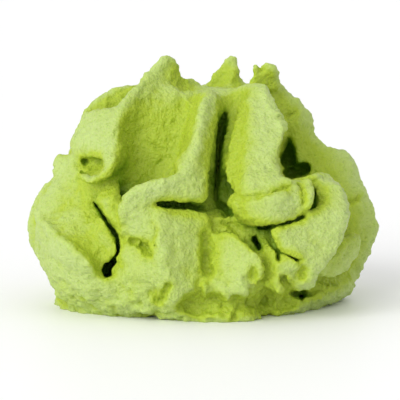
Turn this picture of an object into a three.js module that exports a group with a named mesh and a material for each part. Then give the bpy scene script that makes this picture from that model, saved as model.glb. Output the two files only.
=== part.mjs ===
// A dollop of wasabi paste, squeezed from a star-shaped nozzle.
// Units are millimetres, +Z is up, +X is to the right and the front faces -Y.
// The paste is one solid: a low dome carrying folded ribs that sweep up to torn tips,
// lips and curls where the ribs have buckled over, and deep gaps between them.

import * as THREE from 'three';

// ---------------------------------------------------------------------------
// Driving dimensions
// ---------------------------------------------------------------------------

const CELL = 0.88;            // spacing of the surface's facets
const RIB_BLEND = 1.1;        // how softly the ribs run into the dome
const LOBE_BLEND = 0.45;      // how softly the lips and lobes join the ribs
const GAP_BLEND = 0.25;       // how softly the gaps break through the surface
const THINNEST = 0.7;         // smallest radius that a fold's edge is given
const NARROWEST_GAP = 0.5;    // smallest half-width that a gap is given
const STATION_STEP = 0.4;     // distance between neighbouring sections of a fold
const SECTION_HALF = 0.8;     // how far each section reaches along the fold, either way
const END_ROUNDING = 10;      // the higher, the more suddenly a fold ends
const EVENING_PULLS = [0.5, -0.35, 0.5, -0.35, 0.5, -0.35];
const LOWEST_SIDE = 0.15;     // nothing but the ground face comes lower than this

// The dome under the ribs, as [height, radius] pairs.
const DOME_PROFILE = [
  [0, 11.2], [1, 12], [3, 12.2], [6, 11.4], [9, 9.6],
  [12, 7.4], [15, 5.8], [17.5, 4.9], [18.8, 4], [19.4, 2.6],
];
const DOME_TOP = 19.6;
const DOME_FLATTENING = 0.92; // depth of the dome over its width
const DOME_LEAN = 0.6;        // sideways shift of the dome's top

// A fold is a tapering sheet of paste between an outer edge and a root inside the dome.
// fold(edge points, root points, edge radius at both ends, root radius, bulge).
// A bulge under one swells the sheet towards its edge like a petal.
const fold = (edge, root, edgeRadius, rootRadius, bulge = 1) => (
  { edge, root, edgeRadius: [edgeRadius].flat(), rootRadius, bulge }
);

// ---------------------------------------------------------------------------
// Ribs and fillings that blend into the dome
// ---------------------------------------------------------------------------

const RIBS = [
  // left rib, seen against the light
  fold(
    [[-5.9, 0, 20.3], [-8.3, -0.6, 19.2], [-10.4, -1.2, 17.9], [-11.7, -1.6, 14.8],
      [-12.9, -2, 12.2]],
    [[-0.4, 2, 18.8], [-1.3, 2, 16.5], [-3.1, 2, 13.7]], 0.5, 3.5, 0.8),
  // left flank
  fold(
    [[-11.5, -0.5, 13.9], [-12.8, -1, 11.7], [-14.6, -1.5, 9.3], [-15.1, -2, 6.9], [-14.6, -2, 4.7],
      [-13.3, -2, 2.6], [-12.4, -2, 1]],
    [[-5.9, 0, 13.9], [-6.8, 0, 9.3], [-6.8, 0, 4.6], [-6.8, 0, 1.4]], 1, 4.5, 0.6),
  // right flank
  fold(
    [[10.5, 1.5, 13.5], [13.1, 1.8, 12.5], [14, 1.8, 10.4], [15, 1.6, 8.6], [15.3, 1.4, 6.1],
      [14.3, 1, 3.9], [13.3, 0.5, 2.2], [12.8, 0, 0.7]],
    [[5.2, 1.5, 12.8], [6.1, 1.5, 9.1], [6.6, 1, 5.4], [6.6, 0, 1.8]], 0.9, 3.4, 0.8),
  // front left rib with its hooked foot
  fold(
    [[-3.4, -1.5, 22.2], [-4.6, -3, 21.1], [-6, -4.4, 19.9], [-7.1, -5.8, 18.5], [-7.6, -7, 16.6],
      [-7.8, -7.9, 14.8], [-8.3, -8.6, 13.5], [-9.4, -8.8, 12.6], [-10.5, -8.2, 12.4],
      [-11.5, -7, 13]],
    [[-1.6, 0, 18.9], [-3.6, -0.8, 16.8], [-6, -2, 14.8], [-7.6, -3.4, 13.6],
      [-8.8, -4.6, 14]], [0.4, 0.75], 1.6, 0.9),
  // hollow face between the front left rib and the front rib
  fold(
    [[-4.8, -2.6, 20.2], [-6.2, -3.4, 19], [-6.8, -4, 17.8], [-7, -4.4, 16.3], [-7.1, -4.9, 14.6],
      [-7.7, -5.4, 13.1], [-8.6, -5.8, 11.8], [-9.4, -6, 10.3]],
    [[-0.6, -2, 19.4], [-1.3, -2.8, 18], [-2, -3.4, 16.6], [-2.6, -3.9, 15], [-3.7, -4.4, 13.3],
      [-5.5, -4.8, 11.8], [-6.8, -5.2, 10.7], [-7.3, -5.8, 9.6]], 0.8, 1.2),
  // flat face left of the front left rib
  fold(
    [[-10.3, -2.6, 17.8], [-11, -3.2, 16.5], [-11.5, -3.7, 15.2], [-11.5, -4.2, 14.2]],
    [[-7.7, -5.2, 18.3], [-8.2, -6.3, 16.7], [-8.5, -7.2, 14.7]], 0.5, 0.7),
  // floor of the pocket above the hooked foot
  fold(
    [[-11.6, -1.6, 14.4], [-11.7, -2.2, 13.2], [-11, -4, 12.2]],
    [[-8.2, -4.4, 14.6], [-8.6, -4.8, 13.4], [-9.3, -5.4, 12.4]], 0.9, 1),
  // front rib
  fold(
    [[0.7, -5.2, 20.1], [0, -6.9, 18.6], [-0.4, -8.4, 16.8], [-0.7, -9.8, 15], [-1.5, -11.1, 13.6],
      [-2.4, -11.8, 12.8]],
    [[0.7, -1, 19], [-0.1, -3, 16], [-0.6, -5, 13.5], [-1.1, -6, 11.3]], [0.4, 0.8], 2, 0.9),
  // right rib, stepping out to a shoulder
  fold(
    [[6.2, 0, 21], [7.4, 1, 19.1], [8.7, 1.5, 17.8], [9.6, 2, 16.3], [10.1, 2.3, 14.4],
      [11.5, 2.3, 13.7], [12.9, 2.2, 13.2], [13.8, 2, 12], [14.3, 1.8, 10.5], [14.6, 1.8, 9.5]],
    [[3.8, 1.5, 18.8], [4.3, 2, 15.5], [5.4, 2.5, 12.7], [6.6, 2.5, 10.4],
      [8, 2, 8.6]], 0.7, 3.5, 0.8),
  // shoulder above the left lobe
  fold(
    [[-12.9, -2.4, 14], [-13.3, -2.8, 13.2], [-13.4, -3.2, 12.2], [-13.4, -3.6, 11.2],
      [-14.1, -4.2, 10.4], [-14.4, -4.6, 9.6], [-14.9, -5.2, 8.7], [-15.1, -5.8, 7.9]],
    [[-10.2, -5, 13.5], [-9.9, -5.4, 12.4], [-9.6, -5.8, 11.7], [-9.4, -6.2, 11.1],
      [-9.6, -6.6, 10.3], [-9.6, -6.8, 9.6], [-9.4, -7, 8.8], [-9.2, -7.2, 8.2]], 0.6, 0.8, 0.8),
  // belly behind the front lobes
  fold(
    [[-7.4, -9, 9.9], [-8.1, -9.4, 6.9], [-8.1, -9, 3.3]],
    [[7.6, -7.5, 8.8], [8.5, -8.5, 5.9], [7.6, -8.5, 2.7]], 1.8, 2),
  // back right upper
  fold(
    [[2.9, 3.4, 20.3], [4.5, 5.4, 18.3], [6.4, 7.2, 15.8], [7.9, 8.6, 13.2], [9.2, 9.2, 11.2],
      [10.8, 8.8, 10.2]],
    [[1, 1, 18], [1.5, 1.8, 15], [2.5, 3, 12], [3.5, 3.5, 9.5]], [0.6, 1.1], 3.4, 0.7),
  // back right lower
  fold(
    [[8.2, 9.6, 8.8], [9.2, 10.1, 6.6], [9.2, 9.9, 4.2], [8.4, 9.2, 1.6]],
    [[3.5, 4, 8], [3.5, 4, 5], [3.5, 4, 2]], 1.3, 4.4, 0.6),
  // back middle upper
  fold(
    [[0.6, 4.2, 20.4], [0.4, 7, 18.4], [0, 9.4, 15.8], [-0.6, 11, 13.2], [-1.8, 11.9, 11.3],
      [-3.4, 11.8, 10.4]],
    [[0.5, 1, 18], [0, 2, 15], [0, 3, 12], [-0.5, 4, 9.5]], [0.6, 1.1], 3.4, 0.7),
  // back middle lower
  fold(
    [[0.6, 11.6, 8.8], [0.9, 12.6, 6.5], [0.6, 12.5, 4], [0.4, 11.6, 1.4]],
    [[0.3, 5, 8], [0.3, 5, 5], [0.3, 5, 2]], 1.3, 4.4, 0.6),
  // back left upper
  fold(
    [[-3, 3.2, 20.2], [-4.9, 5, 18.2], [-6.7, 6.8, 15.6], [-8.3, 8.3, 13], [-9.6, 9, 11],
      [-9.9, 10.2, 10]],
    [[-0.8, 1, 18], [-1.5, 1.8, 15], [-2.5, 2.6, 12], [-3.5, 3.2, 9.5]], [0.6, 1.1], 3.4, 0.7),
  // back left lower
  fold(
    [[-10, 8.4, 8.6], [-11, 8.8, 6.4], [-10.8, 8.7, 4], [-9.6, 8.2, 1.5]],
    [[-4, 4, 8], [-4, 4, 5], [-4, 4, 2]], 1.3, 4.4, 0.6),
];

// ---------------------------------------------------------------------------
// Lips, lobes and tips that keep a crisper edge
// ---------------------------------------------------------------------------

const LOBES = [
  // face of the front rib, sweeping left into a lip
  fold(
    [[0.6, -5.3, 19.9], [-0.1, -7.2, 18.5], [-0.4, -8.6, 16.8], [-0.7, -10, 15.1],
      [-1.4, -11.3, 13.5], [-2.4, -12.1, 12.7], [-3.6, -12.6, 12.4], [-5, -12.8, 12],
      [-6.2, -12.7, 11.6], [-6.9, -12.3, 10.6]],
    [[1.1, -4.9, 19], [0.8, -6.2, 17.9], [0.5, -7.6, 16.2], [0.2, -9, 14.3], [0, -10.4, 12.3],
      [-0.1, -11.2, 10.9], [-1.5, -11.8, 10.8], [-3.2, -12.1, 10.8], [-5, -12.2, 10.2],
      [-6.1, -11.8, 8.8]], 0.45, 0.55),
  // lip behind that face
  fold(
    [[-0.4, -11.2, 12], [-1.6, -11.8, 12.4], [-3.1, -12.4, 12.3], [-4.8, -12.7, 12],
      [-6.1, -12.6, 11.5], [-6.8, -12.2, 10.3], [-6.9, -11.9, 9], [-6.4, -11.6, 8.1]],
    [[0.1, -7, 9.7], [-3, -8, 9.2], [-5, -8.5, 9], [-5.2, -8.8, 8.4]], [0.5, 0.7], 1.2, 0.9),
  // front right petal
  fold(
    [[5.5, -3.4, 20.7], [5.6, -5, 19.6], [6.2, -6.1, 18.4], [7, -7.2, 17.2], [7.3, -8, 15.8],
      [7, -8.7, 14.7], [6.4, -9.2, 13.8], [6.5, -9.6, 13.1]],
    [[3.3, -1, 19.3], [3, -2.7, 16.9], [2.9, -4.8, 14.8], [2.9, -6.6, 13.3],
      [3, -7.8, 12.3]], 0.35, 2.2, 0.65),
  // face of the petal
  fold(
    [[5.3, -5, 19], [5.5, -5.6, 18.4], [6.3, -6.4, 17.8], [6.7, -7.2, 16.9], [6.8, -8, 15.8],
      [6.4, -8.9, 14.9], [6, -9.6, 14.1], [6.4, -10.2, 13.1], [7.3, -10.9, 12.3], [8, -11.4, 11.3]],
    [[3.6, -3.8, 18.8], [3.4, -4.4, 18.1], [3.2, -5.2, 17.3], [3, -6, 16.4], [2.8, -6.8, 15.6],
      [2.6, -7.6, 14.7], [2.5, -8.2, 13.8], [2.4, -8.8, 12.8], [2.3, -9.4, 11.9],
      [2.2, -10, 10.9]], 0.5, 0.7),
  // rolled lobe under the petal
  fold(
    [[6.1, -9.6, 13.5], [6.8, -10.4, 12.6], [7.5, -11, 11.8], [7.9, -11.5, 10.9], [7.7, -11.7, 10],
      [6.7, -12, 9.4], [5.3, -12, 9.2], [4.1, -11.5, 9.2], [3.2, -10.8, 9.7], [2.8, -10, 10.7]],
    [[3.3, -5.6, 13.4], [4.5, -6.9, 12.6], [4.6, -7.2, 12.1], [4.3, -7.2, 11.9],
      [3.8, -6.8, 12.2]], 0.75, 2.4, 0.5),
  // roll along the lobe's front
  fold(
    [[2.2, -9.8, 10.4], [2.9, -11, 10.4], [4, -12, 10.7], [5.3, -12.5, 10.8], [6.6, -12.4, 10.9],
      [7.7, -11.9, 10.7]],
    [[2.8, -9.8, 9.8], [3.6, -11, 9.5], [4.6, -11.8, 9.3], [5.7, -12.2, 9.4], [6.8, -12, 9.6],
      [7.7, -11.6, 10]], 0.7, 0.8),
  // ear between the lobe and the curl
  fold(
    [[8.8, -8.8, 12.3], [9.1, -9.2, 11.7], [9.2, -9.5, 11], [9.1, -9.8, 10.4], [9, -10.2, 9.9],
      [8.4, -10.6, 9.4]],
    [[8.1, -8, 12], [8.3, -8.5, 11.5], [8.4, -8.9, 10.9], [8.4, -9.4, 10.4], [8.3, -9.9, 9.9],
      [7.9, -10.4, 9.6]], 0.5, 0.6),
  // top of the ear, running into the curl
  fold(
    [[8.2, -8.6, 12.3], [8.8, -8.8, 12.4], [9.5, -9, 12.4], [10.3, -9, 12.2]],
    [[8.3, -7.4, 11.1], [8.9, -7.6, 11.1], [9.5, -7.6, 11.1], [10.2, -7.6, 10.9]], 0.5, 1.2),
  // right curl
  fold(
    [[9.5, -8, 12.3], [10.3, -8.2, 12.2], [11.1, -8.6, 11.8], [11.7, -9.2, 11], [12.1, -9.7, 10],
      [12, -10.2, 8.9], [11.8, -10.6, 7.8], [11.3, -11, 6.7], [10.4, -11.4, 5.5], [9.4, -11.6, 4.3],
      [8.5, -11.6, 3.5], [7.7, -11.4, 3.3]],
    [[8.5, -4.5, 11.1], [8.7, -6, 9.1], [7.8, -7, 7.6], [7.6, -8, 6.5]], 0.5, 2.2, 0.5),
  // broad face of the right curl
  fold(
    [[10.3, -9, 12.2], [11.3, -9.5, 11.6], [11.8, -10, 10.7], [12, -10.5, 9.6], [12, -10.9, 8.5],
      [11.7, -11.2, 7.4], [11.1, -11.5, 6.3], [10.3, -11.8, 5.3], [9.5, -12, 4.3], [8.7, -12, 3.6]],
    [[9.8, -9.2, 11.6], [10, -9.6, 10.9], [10.3, -10, 10.1], [9.5, -11.2, 9.4], [7.6, -12, 8.3],
      [6.5, -12.3, 7.6], [7.3, -12.4, 6.8], [8.4, -12.5, 6.1], [8.8, -12.4, 5.1],
      [8.5, -12.2, 4.1]], 0.5, 0.6),
  // small lobe behind the curl
  fold(
    [[12.9, -6, 6.6], [13.4, -6, 6.1], [13.3, -6.4, 5.4], [12.7, -7, 4.7], [11.9, -7.8, 4],
      [10.8, -8.8, 3.6]],
    [[11.9, -7.6, 6.3], [11.9, -7.8, 5.8], [11.5, -8.2, 5.2], [10.9, -8.6, 4.7],
      [10.2, -9.2, 4.4]], 0.6, 0.8),
  // body of that lobe
  fold(
    [[13.1, -5, 6.2], [13.3, -5, 5.3], [12.6, -6, 4.5], [11.6, -7, 3.8]],
    [[11.5, -2.5, 5.9], [11, -3, 4.6]], 0.6, 2, 0.7),
  // crest of the left lobe
  fold(
    [[-14.8, -6.2, 8.5], [-13.7, -8, 7.8], [-12.5, -9.8, 7], [-11.2, -10.9, 6.1],
      [-10.1, -11.3, 5.2], [-9.4, -11.3, 4.4]],
    [[-11.7, -3, 6.7], [-10.1, -4, 5.4], [-9.3, -5, 4.2]], [0.5, 0.7], 1.4, 0.9),
  // scooped face of the left lobe
  fold(
    [[-14.7, -5.6, 8.8], [-13.5, -7.2, 8], [-12.3, -8.8, 7.2], [-11.2, -9.8, 6.3],
      [-10.2, -10.2, 5.4], [-9.7, -10.3, 4.7]],
    [[-10.4, -6.8, 9.7], [-9.6, -7.4, 8.8], [-8.8, -7.9, 7.7], [-8.2, -8, 6.5], [-8.6, -7.6, 5.2],
      [-9.3, -8.2, 4.4]], 0.5, 0.4),
  // under hook
  fold(
    [[-10.3, -6.6, 10.5], [-9.3, -7.4, 10.3], [-8.3, -8.2, 10.2], [-7.2, -9, 10.3]],
    [[-9.7, -7, 9.1], [-8.8, -8, 8.8], [-7.9, -9.2, 8.6], [-7.2, -10.2, 8.6]], 0.5, 0.7),
  // left middle
  fold(
    [[-9.1, -8, 9.5], [-8.5, -8.6, 8.8], [-7.9, -9.2, 8], [-7.4, -9.6, 7.2], [-7.1, -9.8, 6.3],
      [-7.2, -9.6, 5.4], [-7.5, -9.2, 4.5]],
    [[-7.6, -9.2, 9.8], [-7.2, -10, 9.1], [-6.7, -10.5, 8.1], [-6.2, -10.6, 7], [-5.9, -10.6, 6.2],
      [-6, -10.4, 5.2], [-6.5, -10, 4.4]], 0.5, 0.8),
  // left low
  fold(
    [[-14.6, -4, 6.1], [-14.3, -5, 5.2], [-13.2, -6.5, 4.1], [-12.6, -7.2, 2.8], [-12.3, -7, 1.6]],
    [[-10.8, -3, 5], [-9.9, -4, 3.5], [-9.4, -4, 2]], 0.7, 3, 0.7),
  // left low front
  fold(
    [[-11.7, -8.8, 4.8], [-10.6, -9.6, 3.7], [-9.9, -9.4, 2.4], [-9.6, -8.2, 1.1]],
    [[-9.5, -3, 4], [-8.6, -3, 1.8]], 1.2, 3, 0.7),
  // lower rib
  fold(
    [[-4.7, -11.8, 9.8], [-3.9, -12.7, 8.6], [-3.6, -13.1, 6.5], [-3.2, -13.1, 4.3],
      [-2.7, -12.6, 2.3], [-2.4, -12, 0.9]],
    [[-3.7, -7, 7.9], [-3, -8, 4.9], [-2.3, -8, 2.2], [-2.3, -8, 1]], [0.8, 1.2], 3.2),
  // lower rib face
  fold(
    [[-4.5, -11.8, 9.9], [-3.8, -12.8, 8.6], [-3.4, -13.3, 6.6], [-3, -13.2, 4.6],
      [-2.5, -12.4, 2.9]],
    [[-0.3, -9.8, 9.2], [-0.2, -10.6, 7.5], [-0.1, -11.2, 5.8], [0, -11.6, 4.4],
      [0.1, -11.6, 3.3]], 0.5, 0.6),
  // lower rib left
  fold(
    [[-6.3, -11.5, 9.4], [-6.6, -11.4, 7.9], [-6, -11.6, 7.4], [-4.9, -12, 7.4]],
    [[-4.8, -8, 8.9], [-4.8, -9, 7.3]], 0.8, 1.8, 0.8),
  // bump
  fold(
    [[1.9, -11.8, 8.2], [3.1, -12.6, 7.1], [4.2, -13.1, 6.3], [5, -13.4, 5.2], [5, -13.3, 4.3],
      [4.4, -13, 3.3]],
    [[0.4, -10.8, 7.3], [0.4, -11.4, 6], [0.4, -11.8, 4.8], [0.7, -12, 3.7],
      [1.3, -12, 2.9]], 0.4, 0.6),
  // bump base
  fold(
    [[2.1, -11.6, 6.8], [3.4, -12.5, 5.4], [3.4, -12.7, 3.8], [2.6, -12.3, 2.4], [1.8, -11.8, 1]],
    [[1.6, -8, 5.8], [1.9, -8, 3.1], [1.9, -8, 1.5]], 1, 2.6, 0.8),
  // small ridge
  fold(
    [[5.2, -10.3, 7], [5.8, -11.4, 6.2], [6, -12, 5], [5.9, -12.1, 3.6], [5.4, -11.8, 2.4]],
    [[4.8, -8, 5.3], [4.5, -9, 3.4]], 0.7, 2, 0.8),
  // small nose
  fold(
    [[6.9, -10.6, 5.4], [7.8, -11.1, 5.1], [8.2, -11.2, 4.5], [8.1, -11, 3.7]],
    [[7.4, -8.5, 3.9], [7.8, -8.5, 3.4]], 0.5, 1.2, 0.9),
  // foot left
  fold(
    [[-12.8, -3, 0.7], [-11.3, -5.4, 0.7], [-8.8, -7, 0.8], [-6.1, -8.2, 0.8], [-3.9, -10, 0.8]],
    [[-8.8, 2, 0.6], [-5.4, -2, 1.2]], 1, 2.6, 0.7),
  // foot left middle
  fold(
    [[-9.9, -9.4, 3.3], [-8.4, -10, 2.8], [-7, -10.4, 2.6]],
    [[-9.9, -8, 1.5], [-8.3, -8.8, 1.3], [-6.9, -9.2, 1.1]], 0.8, 0.9),
  // foot left front
  fold(
    [[-8.1, -9, 3.1], [-7, -10.2, 5.6], [-5.5, -11.2, 5.7], [-4.5, -12, 4.4], [-4.2, -11.6, 2.6]],
    [[-6.7, -5, 3.5], [-4.8, -6, 2.3]], 1.3, 3.4, 0.7),
  // foot front
  fold(
    [[-4.8, -9.9, 1.2], [-1.2, -11, 0.8], [2.7, -11, 0.8], [5.3, -9.8, 1.2]],
    [[-1.3, -4, 0.6], [2.4, -4, 0.6]], 1.2, 3, 0.7),
  // foot right
  fold(
    [[5.1, -9.8, 1.2], [8.1, -7.5, 1.2], [10.9, -4.5, 1.6], [12.7, -1.5, 1.9]],
    [[5.2, 0, 0.7], [9, 2, 1]], 1.2, 3, 0.7),
  // left tip
  fold(
    [[-5.5, -3, 20.1], [-5.2, -2.9, 20.8], [-4.5, -2.4, 21.3], [-3.7, -2, 22], [-3.3, -1.8, 22.4]],
    [[-1.8, -1, 19.6], [-2, -1.1, 20.4], [-2.4, -1.3, 21], [-2.7, -1.4, 21.6],
      [-3.1, -1.6, 22.2]], 0.35, 0.4),
  // small tip
  fold(
    [[-1.9, -0.6, 20], [-1.4, -0.4, 20.3], [-0.8, -0.2, 20], [-0.2, 0, 19.5]],
    [[-1.8, -0.6, 18.9], [-1.3, -0.4, 18.9], [-0.7, -0.2, 18.9], [-0.2, 0, 18.7]], 0.3, 0.9),
  // back tip
  fold(
    [[0.5, 4, 18.9], [0.8, 4, 19.8], [1.4, 4, 20.6], [1.8, 4.1, 21.2], [2.2, 4.2, 21.8],
      [2.7, 4.2, 22.1]],
    [[3.6, 3.8, 18.9], [3.4, 3.8, 19.8], [3, 3.9, 20.4], [2.7, 4, 21], [2.7, 4.1, 21.5],
      [2.8, 4.2, 22.1]], 0.3, 0.3),
  // right tip
  fold(
    [[4.1, -1.6, 19.5], [4.3, -1.6, 20.2], [4.8, -1.6, 20.8], [4.9, -1.6, 21.2], [4.8, -1.6, 21.5]],
    [[6.8, -0.4, 19.4], [6.5, -0.6, 20.2], [6.4, -0.9, 20.8], [6.3, -1.1, 21.2],
      [6, -1.3, 21.5]], 0.3, 0.4),
];

// ---------------------------------------------------------------------------
// Gaps: sheets taken away, from outside the surface down to their floors
// ---------------------------------------------------------------------------

const GAPS = [
  // deep gap between the front rib and the petal
  fold(
    [[1.83, -14.5, 19.24], [1.75, -14.5, 17.88], [1.58, -14.5, 16.6], [1.41, -14.5, 15.32],
      [1.33, -14.5, 14.04], [1.16, -14.5, 12.76], [1.16, -14.5, 11.47], [1.42, -14.5, 10.44]],
    [[1.98, -2.6, 18.31], [1.89, -2.8, 16.88], [1.62, -3, 15.54], [1.43, -3.6, 14.24],
      [1.34, -4.4, 12.96], [1.15, -5.4, 11.72], [1.14, -6.4, 10.49], [1.49, -7, 9.49]], 0.6, 0.5),
  // hollow between the petal and the right rib
  fold(
    [[7.27, -14.5, 17.71], [7.36, -14.5, 16.52], [7.36, -14.5, 15.32], [7.29, -14.5, 14.13]],
    [[7.83, -1, 16.54], [7.97, 0, 15.17], [8.02, 1, 13.78], [7.93, 1, 12.48]], [0.5, 1], 0.8),
  // crease under the front lip, ending in the corner where it meets the deep gap
  fold(
    [[-4.8, -14.5, 10.7], [-3.35, -14.5, 10.57], [-1.65, -14.5, 10.35], [0.31, -14.5, 10.1],
      [1.85, -14.5, 10.01], [2.7, -14.5, 8.98]],
    [[-4.89, -11, 10.17], [-3.43, -9.6, 9.82], [-1.69, -8.2, 9.38], [0.34, -7, 9.05],
      [1.94, -7, 8.87], [2.81, -8, 7.93]], [0.5, 0.7], 0.5),
  // crease under the rolled lobe, ending in a pit beside the front bump
  fold(
    [[9.34, -14.5, 12.24], [9.6, -14.5, 11.13], [9.1, -14.5, 10.01], [7.82, -14.5, 9.23],
      [6.12, -14.5, 8.76], [4.58, -14.5, 8.46], [4.33, -14.5, 7.42]],
    [[9.68, -8, 11.49], [9.97, -7.8, 10.31], [9.42, -8.2, 9.11], [8.09, -8.6, 8.36],
      [6.33, -8.6, 7.83], [4.75, -8.4, 7.54], [4.57, -8.4, 6.47]], [0.5, 0.6], 0.5),
  // crease and pit right of the left lobe
  fold(
    [[-9.74, -14.5, 11.3], [-9.07, -14.5, 10.35], [-8.56, -14.5, 9.49], [-8.05, -14.5, 8.72],
      [-7.54, -14.5, 7.86], [-7.29, -14.5, 7.08], [-7.73, -14.5, 5.87], [-8.33, -14.5, 5.01]],
    [[-10.09, -6, 10.27], [-9.37, -6.2, 9.3], [-8.82, -6.6, 8.46], [-8.28, -7, 7.7],
      [-7.73, -7.5, 6.88], [-7.45, -8, 6.14], [-7.9, -8, 4.89],
      [-8.52, -8, 3.99]], [0.5, 0.6], 0.5),
  // pocket above the hooked foot
  fold(
    [[-10.58, -14.5, 14.13], [-9.9, -14.5, 14.08], [-9.13, -14.5, 14.08], [-8.37, -14.5, 14.13]],
    [[-11.15, -4.2, 13.12], [-10.38, -5.2, 13.14], [-9.53, -6.2, 13.25],
      [-8.68, -7.2, 13.44]], 0.72, 0.7),
  // hollow under the right curl
  fold(
    [[7, -14.5, 3.8], [7.9, -14.5, 2.8], [8.5, -14.5, 2.7]],
    [[7.2, -9, 2.9], [8.2, -8, 1.8], [8.9, -7.5, 1.5]], 0.8, 0.7),
  // creases round the back ribs
  fold(
    [[5, 15, 10.6], [10, 14, 9.9], [14, 10, 9.3]],
    [[5, 8.2, 9.8], [7, 7.4, 9.3], [9, 5.5, 8.8]], 0.8, 0.5),
  fold(
    [[4.5, 17, 10.2], [0, 17, 9.9], [-4.5, 17, 9.7]],
    [[3, 9.4, 9.7], [0, 9.6, 9.3], [-3, 9.4, 9.1]], 0.8, 0.5),
  fold(
    [[-15, 8, 9.2], [-12, 13, 9.6], [-6, 15, 10]],
    [[-9.5, 5, 8.8], [-7.6, 7.4, 9.1], [-5, 8.5, 9.4]], 0.8, 0.5),
];

// ---------------------------------------------------------------------------
// Depth of a point inside the paste (negative inside, positive outside)
// ---------------------------------------------------------------------------

// Cuts a fold into short, thick sections that run from its edge to its root. Towards both ends of
// the fold the sections shrink to their own middles.
function makeSections(shape, smallest) {
  const curve = (points) => new THREE.CatmullRomCurve3(
    points.map((p) => new THREE.Vector3(...p)), false, 'catmullrom', 0.5);
  const edgeCurve = curve(shape.edge);
  const rootCurve = curve(shape.root);
  const length = Math.max(edgeCurve.getLength(), rootCurve.getLength());
  const steps = Math.max(4, Math.ceil(length / STATION_STEP));
  const edges = [];
  const roots = [];
  for (let i = 0; i <= steps; i += 1) {
    edges.push(edgeCurve.getPoint(i / steps));
    roots.push(rootCurve.getPoint(i / steps));
  }
  const centre = (i) => {
    const n = THREE.MathUtils.clamp(i, 0, steps);
    return edges[n].clone().lerp(roots[n], 0.3);
  };
  const sections = [];
  const box = new THREE.Box3();
  for (let i = 1; i < steps; i += 1) {
    const share = i / steps;
    const fullness = Math.sqrt(1 - Math.abs(2 * share - 1) ** END_ROUNDING);
    const fullEdgeRadius = THREE.MathUtils.lerp(shape.edgeRadius[0], shape.edgeRadius.at(-1), share);
    const edgeRadius = Math.max(fullEdgeRadius * fullness, smallest);
    const rootRadius = Math.max(shape.rootRadius * fullness, smallest);
    const way = roots[i].clone().sub(edges[i]).normalize();
    const width = edges[i].distanceTo(roots[i]);
    const middle = edges[i].clone().addScaledVector(way, (width + shape.rootRadius - fullEdgeRadius) / 2);
    const edge = middle.clone().lerp(edges[i], fullness);
    const run = middle.clone().lerp(roots[i], fullness).sub(edge);
    const forward = centre(i + 1).sub(centre(i - 1));
    forward.addScaledVector(way, -forward.dot(way)).normalize();
    const length2 = run.lengthSq();
    sections.push({ edge, run, length2, forward, edgeRadius, rootRadius, bulge: shape.bulge });
    const reach = Math.max(edgeRadius, rootRadius);
    for (const end of [edge, edge.clone().add(run)]) {
      box.expandByPoint(end.clone().addScalar(reach));
      box.expandByPoint(end.clone().subScalar(reach));
    }
  }
  return { sections, box };
}

const away = new THREE.Vector3();

function depthInFold(solid, point, giveUp) {
  if (solid.box.distanceToPoint(point) > giveUp) return giveUp;
  let nearest = giveUp;
  for (const section of solid.sections) {
    away.subVectors(point, section.edge);
    const along = THREE.MathUtils.clamp(away.dot(section.run) / section.length2, 0, 1);
    const radius = section.edgeRadius + (section.rootRadius - section.edgeRadius) * along ** section.bulge;
    away.addScaledVector(section.run, -along);
    const ahead = away.dot(section.forward);
    const stretch = (Math.max(radius / SECTION_HALF, 1) ** 2 - 1) * ahead * ahead;
    const depth = Math.sqrt(away.lengthSq() + stretch) - radius;
    if (depth < nearest) nearest = depth;
  }
  return nearest;
}

function depthInDome(point) {
  const height = Math.max(point.z, 0);
  const across = point.x - DOME_LEAN * (height / DOME_TOP) ** 1.5;
  const spread = Math.hypot(across, point.y / DOME_FLATTENING);
  let radius = 0;
  for (let i = 1; i < DOME_PROFILE.length; i += 1) {
    const [low, lowRadius] = DOME_PROFILE[i - 1];
    const [high, highRadius] = DOME_PROFILE[i];
    if (height <= high) {
      radius = THREE.MathUtils.mapLinear(height, low, high, lowRadius, highRadius);
      break;
    }
  }
  return Math.max((spread - radius) * 0.85, height - DOME_TOP);
}

// Smooth joining and smooth taking-away of two depths.
const join = (a, b, blend) => {
  const overlap = Math.max(blend - Math.abs(a - b), 0) / blend;
  return Math.min(a, b) - (overlap * overlap * blend) / 4;
};
const takeAway = (a, b, blend) => -join(-a, b, blend);

const ribSolids = RIBS.map((shape) => makeSections(shape, THINNEST));
const lobeSolids = LOBES.map((shape) => makeSections(shape, THINNEST));
const gapSolids = GAPS.map((shape) => makeSections(shape, NARROWEST_GAP));
const GIVE_UP = 3;

function depthInPaste(point) {
  let depth = depthInDome(point);
  for (const solid of ribSolids) depth = join(depth, depthInFold(solid, point, GIVE_UP), RIB_BLEND);
  for (const solid of lobeSolids) depth = join(depth, depthInFold(solid, point, GIVE_UP), LOBE_BLEND);
  for (const solid of gapSolids) depth = takeAway(depth, depthInFold(solid, point, GIVE_UP), GAP_BLEND);
  return depth;
}

// ---------------------------------------------------------------------------
// Surface of the paste: one point per crossed cell, one four-sided facet per crossed edge
// ---------------------------------------------------------------------------

// The grid's lowest layer lies half a cell under the ground, so the base comes out flat at zero.
const GRID_LOW = new THREE.Vector3(-17.5, -15.5, -CELL / 2);
const GRID_HIGH = new THREE.Vector3(17.5, 18, 24);
const COUNT = GRID_HIGH.clone().sub(GRID_LOW).divideScalar(CELL).ceil();
const [NX, NY, NZ] = [COUNT.x + 1, COUNT.y + 1, COUNT.z + 1];
const at = (i, j, k) => i + NX * (j + NY * k);
const gridPoint = (i, j, k) => new THREE.Vector3(i, j, k).multiplyScalar(CELL).add(GRID_LOW);

const field = new Float64Array(NX * NY * NZ);
for (let k = 0; k < NZ; k += 1) {
  for (let j = 0; j < NY; j += 1) {
    for (let i = 0; i < NX; i += 1) {
      const rim = i === 0 || j === 0 || k === 0 || i === NX - 1 || j === NY - 1 || k === NZ - 1;
      field[at(i, j, k)] = rim ? CELL : depthInPaste(gridPoint(i, j, k));
    }
  }
}

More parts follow.
